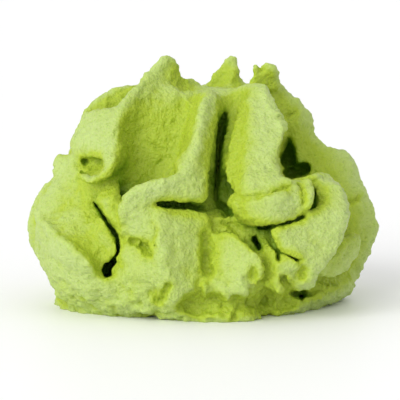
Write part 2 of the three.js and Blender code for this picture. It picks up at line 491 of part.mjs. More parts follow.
// Air that is shut in by the paste is filled: only air that the outside reaches stays.
const JUST_INSIDE = -0.05;
function fillShutInAir() {
  const reached = new Uint8Array(field.length);
  const waiting = [0];
  reached[0] = 1;
  while (waiting.length > 0) {
    const slot = waiting.pop();
    for (const stride of [1, NX, NX * NY]) {
      for (const other of [slot - stride, slot + stride]) {
        if (other < 0 || other >= field.length || reached[other] || field[other] < 0) continue;
        reached[other] = 1;
        waiting.push(other);
      }
    }
  }
  for (let slot = 0; slot < field.length; slot += 1) {
    if (!reached[slot] && field[slot] >= 0) field[slot] = JUST_INSIDE;
  }
}
fillShutInAir();

const CORNERS = [[0, 0, 0], [1, 0, 0], [0, 1, 0], [1, 1, 0], [0, 0, 1], [1, 0, 1], [0, 1, 1], [1, 1, 1]];
const CELL_EDGES = [
  [0, 1], [2, 3], [4, 5], [6, 7], [0, 2], [1, 3], [4, 6], [5, 7], [0, 4], [1, 5], [2, 6], [3, 7],
];

// Groups of a cell's corners that share a side and are joined by the cell's edges.
function cornerGroups(inside, side) {
  const group = inside.map((value, c) => (value === side ? c : -1));
  for (let pass = 0; pass < 8; pass += 1) {
    for (const [a, b] of CELL_EDGES) {
      if (group[a] >= 0 && group[b] >= 0) {
        const lowest = Math.min(group[a], group[b]);
        group[a] = lowest;
        group[b] = lowest;
      }
    }
  }
  const groups = new Map();
  group.forEach((g, c) => { if (g >= 0) groups.set(g, [...(groups.get(g) ?? []), c]); });
  return [...groups.values()].sort((a, b) => a.length - b.length);
}

// Where two sheets of the surface would touch in a cell, the smaller group of corners changes side.
for (let pass = 0, changed = true; changed && pass < 40; pass += 1) {
  changed = false;
  for (let k = 0; k < NZ - 1; k += 1) {
    for (let j = 0; j < NY - 1; j += 1) {
      for (let i = 0; i < NX - 1; i += 1) {
        const slots = CORNERS.map(([a, b, c]) => at(i + a, j + b, k + c));
        const inside = slots.map((slot) => field[slot] < 0);
        if (inside.every((v) => v === inside[0])) continue;
        const outer = cornerGroups(inside, false);
        const inner = cornerGroups(inside, true);
        if (outer.length < 2 && inner.length < 2) continue;
        const fill = (outer.length > 1 || pass > 20) && k > 0;
        const group = fill ? outer[0] : inner[0];
        for (const corner of group) field[slots[corner]] = fill ? JUST_INSIDE : -JUST_INSIDE;
        changed = true;
      }
    }
  }
}

fillShutInAir();

const positions = [];
const pointOfCell = new Int32Array(NX * NY * NZ).fill(-1);
for (let k = 0; k < NZ - 1; k += 1) {
  for (let j = 0; j < NY - 1; j += 1) {
    for (let i = 0; i < NX - 1; i += 1) {
      const values = CORNERS.map(([a, b, c]) => field[at(i + a, j + b, k + c)]);
      const crossed = CELL_EDGES.filter(([a, b]) => (values[a] < 0) !== (values[b] < 0));
      if (crossed.length === 0) continue;
      const point = new THREE.Vector3();
      for (const [a, b] of crossed) {
        const share = THREE.MathUtils.clamp(values[a] / (values[a] - values[b]), 0.1, 0.9);
        const from = new THREE.Vector3(...CORNERS[a]);
        point.add(from.lerp(new THREE.Vector3(...CORNERS[b]), share));
      }
      point.divideScalar(crossed.length).multiplyScalar(CELL).add(gridPoint(i, j, k));
      pointOfCell[at(i, j, k)] = positions.length / 3;
      positions.push(point.x, point.y, k === 0 ? 0 : point.z);
    }
  }
}

const triangles = [];
const groundEdges = new Map();

function addQuad(a, b, c, d, flip) {
  const [p, q, r, s] = [a, b, c, d].map((v) => new THREE.Vector3().fromArray(positions, 3 * v));
  const shortFirst = p.distanceToSquared(r) <= q.distanceToSquared(s);
  const pair = shortFirst ? [[a, b, c], [a, c, d]] : [[a, b, d], [b, c, d]];
  for (const [x, y, z] of pair) triangles.push(...(flip ? [x, z, y] : [x, y, z]));
}

for (let k = 0; k < NZ - 1; k += 1) {
  for (let j = 1; j < NY - 1; j += 1) {
    for (let i = 1; i < NX - 1; i += 1) {
      const here = field[at(i, j, k)] < 0;
      const cell = (a, b, c) => pointOfCell[at(i + a, j + b, k + c)];
      if (k > 0 && here !== field[at(i + 1, j, k)] < 0) {
        addQuad(cell(0, -1, -1), cell(0, 0, -1), cell(0, 0, 0), cell(0, -1, 0), !here);
      }
      if (k > 0 && here !== field[at(i, j + 1, k)] < 0) {
        addQuad(cell(-1, 0, -1), cell(-1, 0, 0), cell(0, 0, 0), cell(0, 0, -1), !here);
      }
      if (here !== field[at(i, j, k + 1)] < 0) {
        const quad = [cell(-1, -1, 0), cell(0, -1, 0), cell(0, 0, 0), cell(-1, 0, 0)];
        if (k > 0) {
          addQuad(...quad, !here);
        } else {
          quad.forEach((from, n) => {
            const to = quad[(n + 1) % 4];
            if (!groundEdges.delete(`${to} ${from}`)) groundEdges.set(`${from} ${to}`, [from, to]);
          });
        }
      }
    }
  }
}

// Evens out the facets: every pass pulls the points towards their neighbours and most of the way
// back. Points on the ground only follow the ground's outline.
const neighbours = Array.from({ length: positions.length / 3 }, () => new Set());
for (let n = 0; n < triangles.length; n += 3) {
  const corners = triangles.slice(n, n + 3);
  for (const a of corners) for (const b of corners) if (a !== b) neighbours[a].add(b);
}
const onGround = new Set([...groundEdges.values()].flat());
for (const vertex of onGround) neighbours[vertex].clear();
for (const [from, to] of groundEdges.values()) {
  neighbours[from].add(to);
  neighbours[to].add(from);
}
for (const pull of EVENING_PULLS) {
  const before = positions.slice();
  neighbours.forEach((around, vertex) => {
    if (around.size === 0) return;
    for (let axis = 0; axis < 3; axis += 1) {
      let mean = 0;
      for (const other of around) mean += before[3 * other + axis] / around.size;
      positions[3 * vertex + axis] += pull * (mean - before[3 * vertex + axis]);
    }
    if (!onGround.has(vertex)) positions[3 * vertex + 2] = Math.max(positions[3 * vertex + 2], LOWEST_SIDE);
  });
}

// The ground face is one flat outline, filled in with as few triangles as it needs.
const next = new Map([...groundEdges.values()]);
while (next.size > 0) {
  const loop = [];
  let vertex = next.keys().next().value;
  while (next.has(vertex)) {
    loop.push(vertex);
    const following = next.get(vertex);
    next.delete(vertex);
    vertex = following;
  }
  const outline = loop.map((v) => new THREE.Vector2(positions[3 * v], positions[3 * v + 1]));
  for (const facet of THREE.ShapeUtils.triangulateShape(outline, [])) {
    const facesUp = !THREE.ShapeUtils.isClockWise(facet.map((n) => outline[n]));
    const corners = facet.map((n) => loop[n]);
    triangles.push(...(facesUp ? corners.reverse() : corners));
  }
}

// ---------------------------------------------------------------------------
// The part
// ---------------------------------------------------------------------------

const geometry = new THREE.BufferGeometry();
geometry.setAttribute('position', new THREE.Float32BufferAttribute(positions, 3));
geometry.setIndex(triangles);
geometry.computeBoundingBox();
const middle = geometry.boundingBox.getCenter(new THREE.Vector3());
geometry.translate(-middle.x, -middle.y, 0);
geometry.computeVertexNormals();

const paste = new THREE.Mesh(geometry, new THREE.MeshStandardMaterial({ color: 0xa3c644, roughness: 0.6 }));
paste.name = 'wasabi_paste';

const part = new THREE.Group();
part.name = 'wasabi_paste_dollop';
part.add(paste);

export default part;
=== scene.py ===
import math

import bmesh
import bpy
import numpy as np
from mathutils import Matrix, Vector
from mathutils.bvhtree import BVHTree
from mathutils.kdtree import KDTree


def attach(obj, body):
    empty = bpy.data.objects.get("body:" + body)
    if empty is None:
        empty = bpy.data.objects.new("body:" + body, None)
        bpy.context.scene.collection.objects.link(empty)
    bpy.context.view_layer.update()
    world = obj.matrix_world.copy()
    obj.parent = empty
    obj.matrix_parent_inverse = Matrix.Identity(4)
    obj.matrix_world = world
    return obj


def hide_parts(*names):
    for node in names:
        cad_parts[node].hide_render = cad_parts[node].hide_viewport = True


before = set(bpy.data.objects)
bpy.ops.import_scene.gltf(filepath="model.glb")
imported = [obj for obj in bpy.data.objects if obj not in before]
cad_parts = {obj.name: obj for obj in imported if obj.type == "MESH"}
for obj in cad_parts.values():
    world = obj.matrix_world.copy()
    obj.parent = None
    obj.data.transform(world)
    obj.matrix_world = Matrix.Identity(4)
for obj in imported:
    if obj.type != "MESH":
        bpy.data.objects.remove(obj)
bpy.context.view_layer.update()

# ---------------------------------------------------------------------------------------------
# Camera: low in front of the dollop, as someone sees it who sits at the table. Every shape below
# is in millimetres, and what faces the camera is drawn on the plane through the dollop's middle.
# ---------------------------------------------------------------------------------------------

MM = 0.001
CAMERA_DISTANCE = 200.0
CAMERA_RISE = math.radians(7.0)
CAMERA_LENS = 195.75
SENSOR_WIDTH = 36
NEAREST_SEEN = 0.01
FARTHEST_SEEN = 5
AIM = Vector((-0.44, 0.09, 9.26))

towards_camera = Vector((0, -math.cos(CAMERA_RISE), math.sin(CAMERA_RISE)))
eye = AIM + towards_camera * CAMERA_DISTANCE
camera_data = bpy.data.cameras.new("camera")
camera_data.sensor_width = SENSOR_WIDTH
camera_data.lens = CAMERA_LENS
camera_data.clip_start = NEAREST_SEEN
camera_data.clip_end = FARTHEST_SEEN
camera = bpy.data.objects.new("camera", camera_data)
bpy.context.scene.collection.objects.link(camera)
camera.location = eye * MM
camera.rotation_euler = towards_camera.to_track_quat("Z", "Y").to_euler()
bpy.context.scene.camera = camera

# ---------------------------------------------------------------------------------------------
# The mound: the first paste out of the nozzle, a low dome that spreads on the table. Wasabi paste
# is finely grated root in a little oil and starch. Everything later is squeezed onto this dome.
# ---------------------------------------------------------------------------------------------

MOUND_PROFILE = [
    (0, 19.6), (2.6, 19.4), (4, 18.8), (4.9, 17.5), (5.8, 15), (7.4, 12),
    (9.6, 9), (11.4, 6), (12.2, 3), (11.6, 0.6), (10, 0), (0, 0),
]
MOUND_FLATTENING = 0.92
MOUND_HEIGHT = 20.0
MOUND_LEAN = 0.6
MOUND_LEAN_CURVE = 1.5
MOUND_SIDES = 48
MOUND_RINGS = 40


def flowing_line(points, stations):
    """A smooth line through the points, at evenly numbered stations."""
    line = np.array(points, float)
    if len(line) == 1:
        return np.repeat(line, stations, 0)
    place = np.linspace(0, len(line) - 1, stations)
    piece = np.minimum(place.astype(int), len(line) - 2)
    share = (place - piece)[:, None]
    padded = np.vstack([2 * line[0] - line[1], line, 2 * line[-1] - line[-2]])
    before, start, end, after = (padded[piece + k] for k in range(4))
    return start + 0.5 * (
        (end - before) * share
        + (2 * before - 5 * start + 4 * end - after) * share**2
        + (3 * start - before - 3 * end + after) * share**3
    )


def points_of(paste):
    """The paste's points, in millimetres."""
    flat = np.empty(len(paste.data.vertices) * 3)
    paste.data.vertices.foreach_get("co", flat)
    return flat.reshape(-1, 3) / MM


def move_points(paste, points):
    """Puts the paste's points at new places, given in millimetres."""
    paste.data.vertices.foreach_set("co", (points * MM).ravel())
    paste.data.update()


def blank_of_paste(name, sides, rings):
    """A ball of unit size, with the ring number and the angle round it of every point."""
    bpy.ops.object.select_all(action="DESELECT")
    bpy.ops.mesh.primitive_uv_sphere_add(segments=sides, ring_count=rings, radius=MM)
    ball = bpy.context.object
    ball.name = name
    unit = points_of(ball)
    ring = np.rint(np.arccos(np.clip(unit[:, 2], -1, 1)) / math.pi * rings).astype(int)
    return ball, ring, np.arctan2(unit[:, 1], unit[:, 0])


mound, ring, angle = blank_of_paste("mound", MOUND_SIDES, MOUND_RINGS)
outline = np.maximum(flowing_line(MOUND_PROFILE, MOUND_RINGS + 1)[ring], 0)
outline[(ring == 0) | (ring == MOUND_RINGS), 0] = 0
lean = MOUND_LEAN * (outline[:, 1] / MOUND_HEIGHT) ** MOUND_LEAN_CURVE
move_points(mound, np.stack([
    outline[:, 0] * np.cos(angle) + lean,
    outline[:, 0] * np.sin(angle) * MOUND_FLATTENING,
    outline[:, 1],
], 1))

# ---------------------------------------------------------------------------------------------
# The ribs: the star-shaped nozzle leaves sheets of paste that stand out from the dome. Each is
# given by its outer edge, its root inside the dome and its thickness at both.
# ---------------------------------------------------------------------------------------------

FOLD_SIDES = 20
FOLD_RINGS = 40
FOLD_END_SQUARENESS = 10
FOLD_SIDE_SQUARENESS = 6
RUN_OF_EDGE = 0.7
RUN_OF_ROOT = 0.3


def fold(name, edge, root, edge_radius, root_radius, bulge=1.0):
    """A tapering sheet of paste. A bulge under one swells it towards its edge like a petal. The
    edge's radius may be two values, one for each end."""
    sheet, ring, angle = blank_of_paste(name, FOLD_SIDES, FOLD_RINGS)
    edge_line = flowing_line(edge, FOLD_RINGS + 1)
    root_line = flowing_line(root, FOLD_RINGS + 1)
    along = np.linspace(0, 1, FOLD_RINGS + 1)
    first_radius, last_radius = np.broadcast_to(edge_radius, 2)
    edge_r = first_radius + (last_radius - first_radius) * along
    outward = edge_line - root_line
    width = np.linalg.norm(outward, axis=1)
    outward = outward / width[:, None]
    run = np.gradient(RUN_OF_EDGE * edge_line + RUN_OF_ROOT * root_line, axis=0)
    run = run - outward * (run * outward).sum(1)[:, None]
    run = run / np.maximum(np.linalg.norm(run, axis=1), 1e-9)[:, None]
    across = np.cross(outward, run)
    ends = np.sqrt(np.clip(1 - np.abs(2 * along - 1) ** FOLD_END_SQUARENESS, 0, 1))[ring][:, None]
    inward = (1 - np.cos(angle)) / 2
    span = (edge_r + width + root_radius)[ring]
    offset = edge_r[ring] - inward * span
    thick = edge_r[ring] + (root_radius - edge_r[ring]) * inward**bulge
    thick *= np.sqrt(np.clip(1 - np.abs(2 * inward - 1) ** FOLD_SIDE_SQUARENESS, 0, 1))
    thick *= np.sign(np.sin(angle))
    point = edge_line[ring] + outward[ring] * offset[:, None] + across[ring] * thick[:, None]
    middle = edge_line[ring] + outward[ring] * (edge_r[ring] - span / 2)[:, None]
    move_points(sheet, middle + (point - middle) * ends)
    return sheet


ribs = [
    fold("left_rib",
         [(-5.9, 0, 20.3), (-8.3, -0.6, 19.2), (-10.4, -1.2, 17.9), (-11.7, -1.6, 14.8),
          (-12.9, -2, 12.2)],
         [(-0.4, 2, 18.8), (-1.3, 2, 16.5), (-3.1, 2, 13.7)], 0.5, 3.5, 0.8),
    fold("left_flank",
         [(-11.5, -0.5, 13.9), (-12.8, -1, 11.7), (-14.6, -1.5, 9.3), (-15.1, -2, 6.9),
          (-14.6, -2, 4.7), (-13.3, -2, 2.6), (-12.4, -2, 1)],
         [(-5.9, 0, 13.9), (-6.8, 0, 9.3), (-6.8, 0, 4.6), (-6.8, 0, 1.4)], 1, 4.5, 0.6),
    fold("right_flank",
         [(10.5, 1.5, 13.5), (13.1, 1.8, 12.5), (14, 1.8, 10.4), (15, 1.6, 8.6), (15.3, 1.4, 6.1),
          (14.4, 1, 3.9), (13.8, 0.5, 2.2), (13.6, 0, 0.5)],
         [(5.2, 1.5, 12.8), (6.1, 1.5, 9.1), (6.6, 1, 5.4), (6.6, 0, 1.8)], 0.9, 3.4, 0.8),
    fold("front_left_rib",
         [(-3.4, -1.5, 22.2), (-4.6, -3, 21.1), (-6, -4.4, 19.9), (-7.1, -5.8, 18.5),
          (-7.6, -7, 16.6), (-7.8, -7.9, 14.8), (-8.3, -8.6, 13.5), (-9.4, -8.8, 12.6),
          (-10.5, -8.2, 12.4), (-11.5, -7, 13)],
         [(-1.6, 0, 18.9), (-3.6, -0.8, 16.8), (-6, -2, 14.8), (-7.6, -3.4, 13.6),
          (-8.8, -4.6, 14)], (0.4, 0.75), 1.6, 0.9),
    fold("hollow_face",
         [(-4.8, -2.6, 20.2), (-6.2, -3.4, 19), (-7.3, -4.2, 17.8), (-7.9, -4.7, 16.3),
          (-8.1, -5.3, 14.6), (-8.6, -5.8, 13.1), (-9.2, -6.1, 11.8), (-9.4, -6, 10.3)],
         [(-0.6, -2, 19.4), (-1.3, -2.8, 18), (-2, -3.4, 16.6), (-2.6, -3.9, 15),
          (-3.7, -4.4, 13.3), (-5.5, -4.8, 11.8), (-6.8, -5.2, 10.7), (-7.3, -5.8, 9.6)], 0.8, 1.2),
    fold("left_face",
         [(-10.3, -2.6, 17.8), (-11, -3.2, 16.5), (-11.5, -3.7, 15.2), (-11.6, -4.1, 14.4),
          (-11.4, -4.5, 13.5)],
         [(-7.7, -5.2, 18.3), (-8.2, -6.3, 16.7), (-8.5, -7.1, 15.2), (-8.6, -7.3, 14.4),
          (-8.8, -7.4, 13.6)], 0.5, 0.7),
    fold("pocket_floor",
         [(-11.6, -0.6, 14.4), (-11.7, -1, 13.2), (-11, -3, 12)],
         [(-8.2, -3, 14.6), (-8.6, -3.4, 13.4), (-9.3, -4.6, 12.2)], 0.9, 1),
    fold("front_rib",
         [(0.7, -5.2, 20.1), (0, -6.9, 18.6), (-0.4, -8.4, 16.8), (-0.7, -9.8, 15),
          (-1.5, -11.1, 13.6), (-2.4, -11.8, 12.8)],
         [(0.7, -1, 19), (-0.1, -3, 16), (-0.6, -5, 13.5), (-1.1, -6, 11.3)], (0.4, 0.8), 2, 0.9),
    fold("right_rib",
         [(6.2, 0, 21), (7.4, 1, 19.1), (8.7, 1.5, 17.8), (9.6, 2, 16.3), (10.1, 2.3, 14.4),
          (11.5, 2.3, 13.7), (12.9, 2.2, 13.2), (13.8, 2, 12), (14.3, 1.8, 10.5), (14.6, 1.8, 9.5)],
         [(3.8, 1.5, 18.8), (4.3, 2, 15.5), (5.4, 2.5, 12.7), (6.6, 2.5, 10.4),
          (8, 2, 8.6)], 0.7, 3.5, 0.8),
    fold("left_shoulder",
         [(-12.9, -2.4, 14), (-13.3, -2.8, 13.2), (-13.4, -3.2, 12.2), (-13.4, -3.6, 11.2),
          (-14.1, -4.2, 10.4), (-14.4, -4.6, 9.6), (-14.9, -5.2, 8.7), (-15.1, -5.8, 7.9)],
         [(-10.2, -5, 13.5), (-9.9, -5.4, 12.4), (-9.6, -5.8, 11.7), (-9.4, -6.2, 11.1),
          (-9.6, -6.6, 10.3), (-9.6, -6.8, 9.6), (-9.4, -7, 8.8), (-9.2, -7.2, 8.2)], 0.6, 0.8, 0.8),
    fold("belly",
         [(-7.4, -9, 9.9), (-8.1, -9.4, 6.9), (-8.1, -9, 3.3)],
         [(7.6, -7.5, 8.8), (8.5, -8.5, 5.9), (7.6, -8.5, 2.7)], 1.8, 2),
    fold("back_right_upper",
         [(2.9, 3.4, 20.3), (4.5, 5.4, 18.3), (6.4, 7.2, 15.8), (7.9, 8.6, 13.2), (9.2, 9.2, 11.2),
          (10.8, 8.8, 10.2)],
         [(1, 1, 18), (1.5, 1.8, 15), (2.5, 3, 12), (3.5, 3.5, 9.5)], (0.6, 1.1), 3.4, 0.7),
    fold("back_right_lower",
         [(8.2, 9.6, 8.8), (9.2, 10.1, 6.6), (9.2, 9.9, 4.2), (8.4, 9.2, 1.6)],
         [(3.5, 4, 8), (3.5, 4, 5), (3.5, 4, 2)], 1.3, 4.4, 0.6),
    fold("back_middle_upper",
         [(0.6, 4.2, 20.4), (0.4, 7, 18.4), (0, 9.4, 15.8), (-0.6, 11, 13.2), (-1.8, 11.9, 11.3),
          (-3.4, 11.8, 10.4)],
         [(0.5, 1, 18), (0, 2, 15), (0, 3, 12), (-0.5, 4, 9.5)], (0.6, 1.1), 3.4, 0.7),
    fold("back_middle_lower",
         [(0.6, 11.6, 8.8), (0.9, 12.6, 6.5), (0.6, 12.5, 4), (0.4, 11.6, 1.4)],
         [(0.3, 5, 8), (0.3, 5, 5), (0.3, 5, 2)], 1.3, 4.4, 0.6),
    fold("back_left_upper",
         [(-3, 3.2, 20.2), (-4.9, 5, 18.2), (-6.7, 6.8, 15.6), (-8.3, 8.3, 13), (-9.6, 9, 11),
          (-9.9, 10.2, 10)],
         [(-0.8, 1, 18), (-1.5, 1.8, 15), (-2.5, 2.6, 12), (-3.5, 3.2, 9.5)], (0.6, 1.1), 3.4, 0.7),
    fold("back_left_lower",
         [(-10, 8.4, 8.6), (-11, 8.8, 6.4), (-10.8, 8.7, 4), (-9.6, 8.2, 1.5)],
         [(-4, 4, 8), (-4, 4, 5), (-4, 4, 2)], 1.3, 4.4, 0.6),
]


def merge(pieces):
    """Joins the pieces into one object."""
    bpy.ops.object.select_all(action="DESELECT")
    for piece in pieces:
        piece.select_set(True)
    bpy.context.view_layer.objects.active = pieces[0]
    bpy.ops.object.join()
    return bpy.context.object


def reskin(paste, cell):
    """One closed, even skin around everything that has been put together."""
    skin = paste.modifiers.new("skin", "REMESH")
    skin.mode = "VOXEL"
    skin.voxel_size = cell * MM
    skin.adaptivity = 0
    bpy.context.view_layer.objects.active = paste
    bpy.ops.object.modifier_apply(modifier="skin")


def pulls(points, edges):
    """For every point, the way to the middle of its neighbours."""
    total = np.zeros_like(points)
    first, second = edges[:, 0], edges[:, 1]
    for axis in range(3):
        total[:, axis] = np.bincount(first, points[second, axis], len(points))
        total[:, axis] += np.bincount(second, points[first, axis], len(points))
    count = np.bincount(edges.ravel(), minlength=len(points))
    return total / np.maximum(count, 1)[:, None] - points


def edges_of(paste):
    """The two point numbers of every edge."""
    ends = np.empty(len(paste.data.edges) * 2, int)
    paste.data.edges.foreach_get("vertices", ends)
    return ends.reshape(-1, 2)


def normals_of(paste):
    """The way that the skin faces at every point."""
    flat = np.empty(len(paste.data.vertices) * 3)
    paste.data.vertices.foreach_get("normal", flat)
    return flat.reshape(-1, 3)


RIB_CELL = 0.3
RIB_FILLING = (10, 0.5, 0.03)
NORMALS_EVERY = 5
SLIDE = 0.25


def fill_valleys(paste, steps, fill, wear):
    """Paste runs together where folds meet: valleys fill up, and ridges wear down only a little."""
    points, edges = points_of(paste), edges_of(paste)
    for step in range(steps):
        if step % NORMALS_EVERY == 0:
            move_points(paste, points)
            normals = normals_of(paste)
        pull = pulls(points, edges)
        rise = (pull * normals).sum(1)[:, None]
        slide = SLIDE * (pull - normals * rise)
        points = points + np.where(rise > 0, fill, wear) * normals * rise + slide
    move_points(paste, points)


dollop = merge([mound] + ribs)
reskin(dollop, RIB_CELL)
fill_valleys(dollop, *RIB_FILLING)

# ---------------------------------------------------------------------------------------------
# Lips, lobes and torn tips: where the nozzle slowed down the ribs buckled and rolled over
# themselves, and at the top they tore off. They lie on the ribs and keep their own edges.
# ---------------------------------------------------------------------------------------------

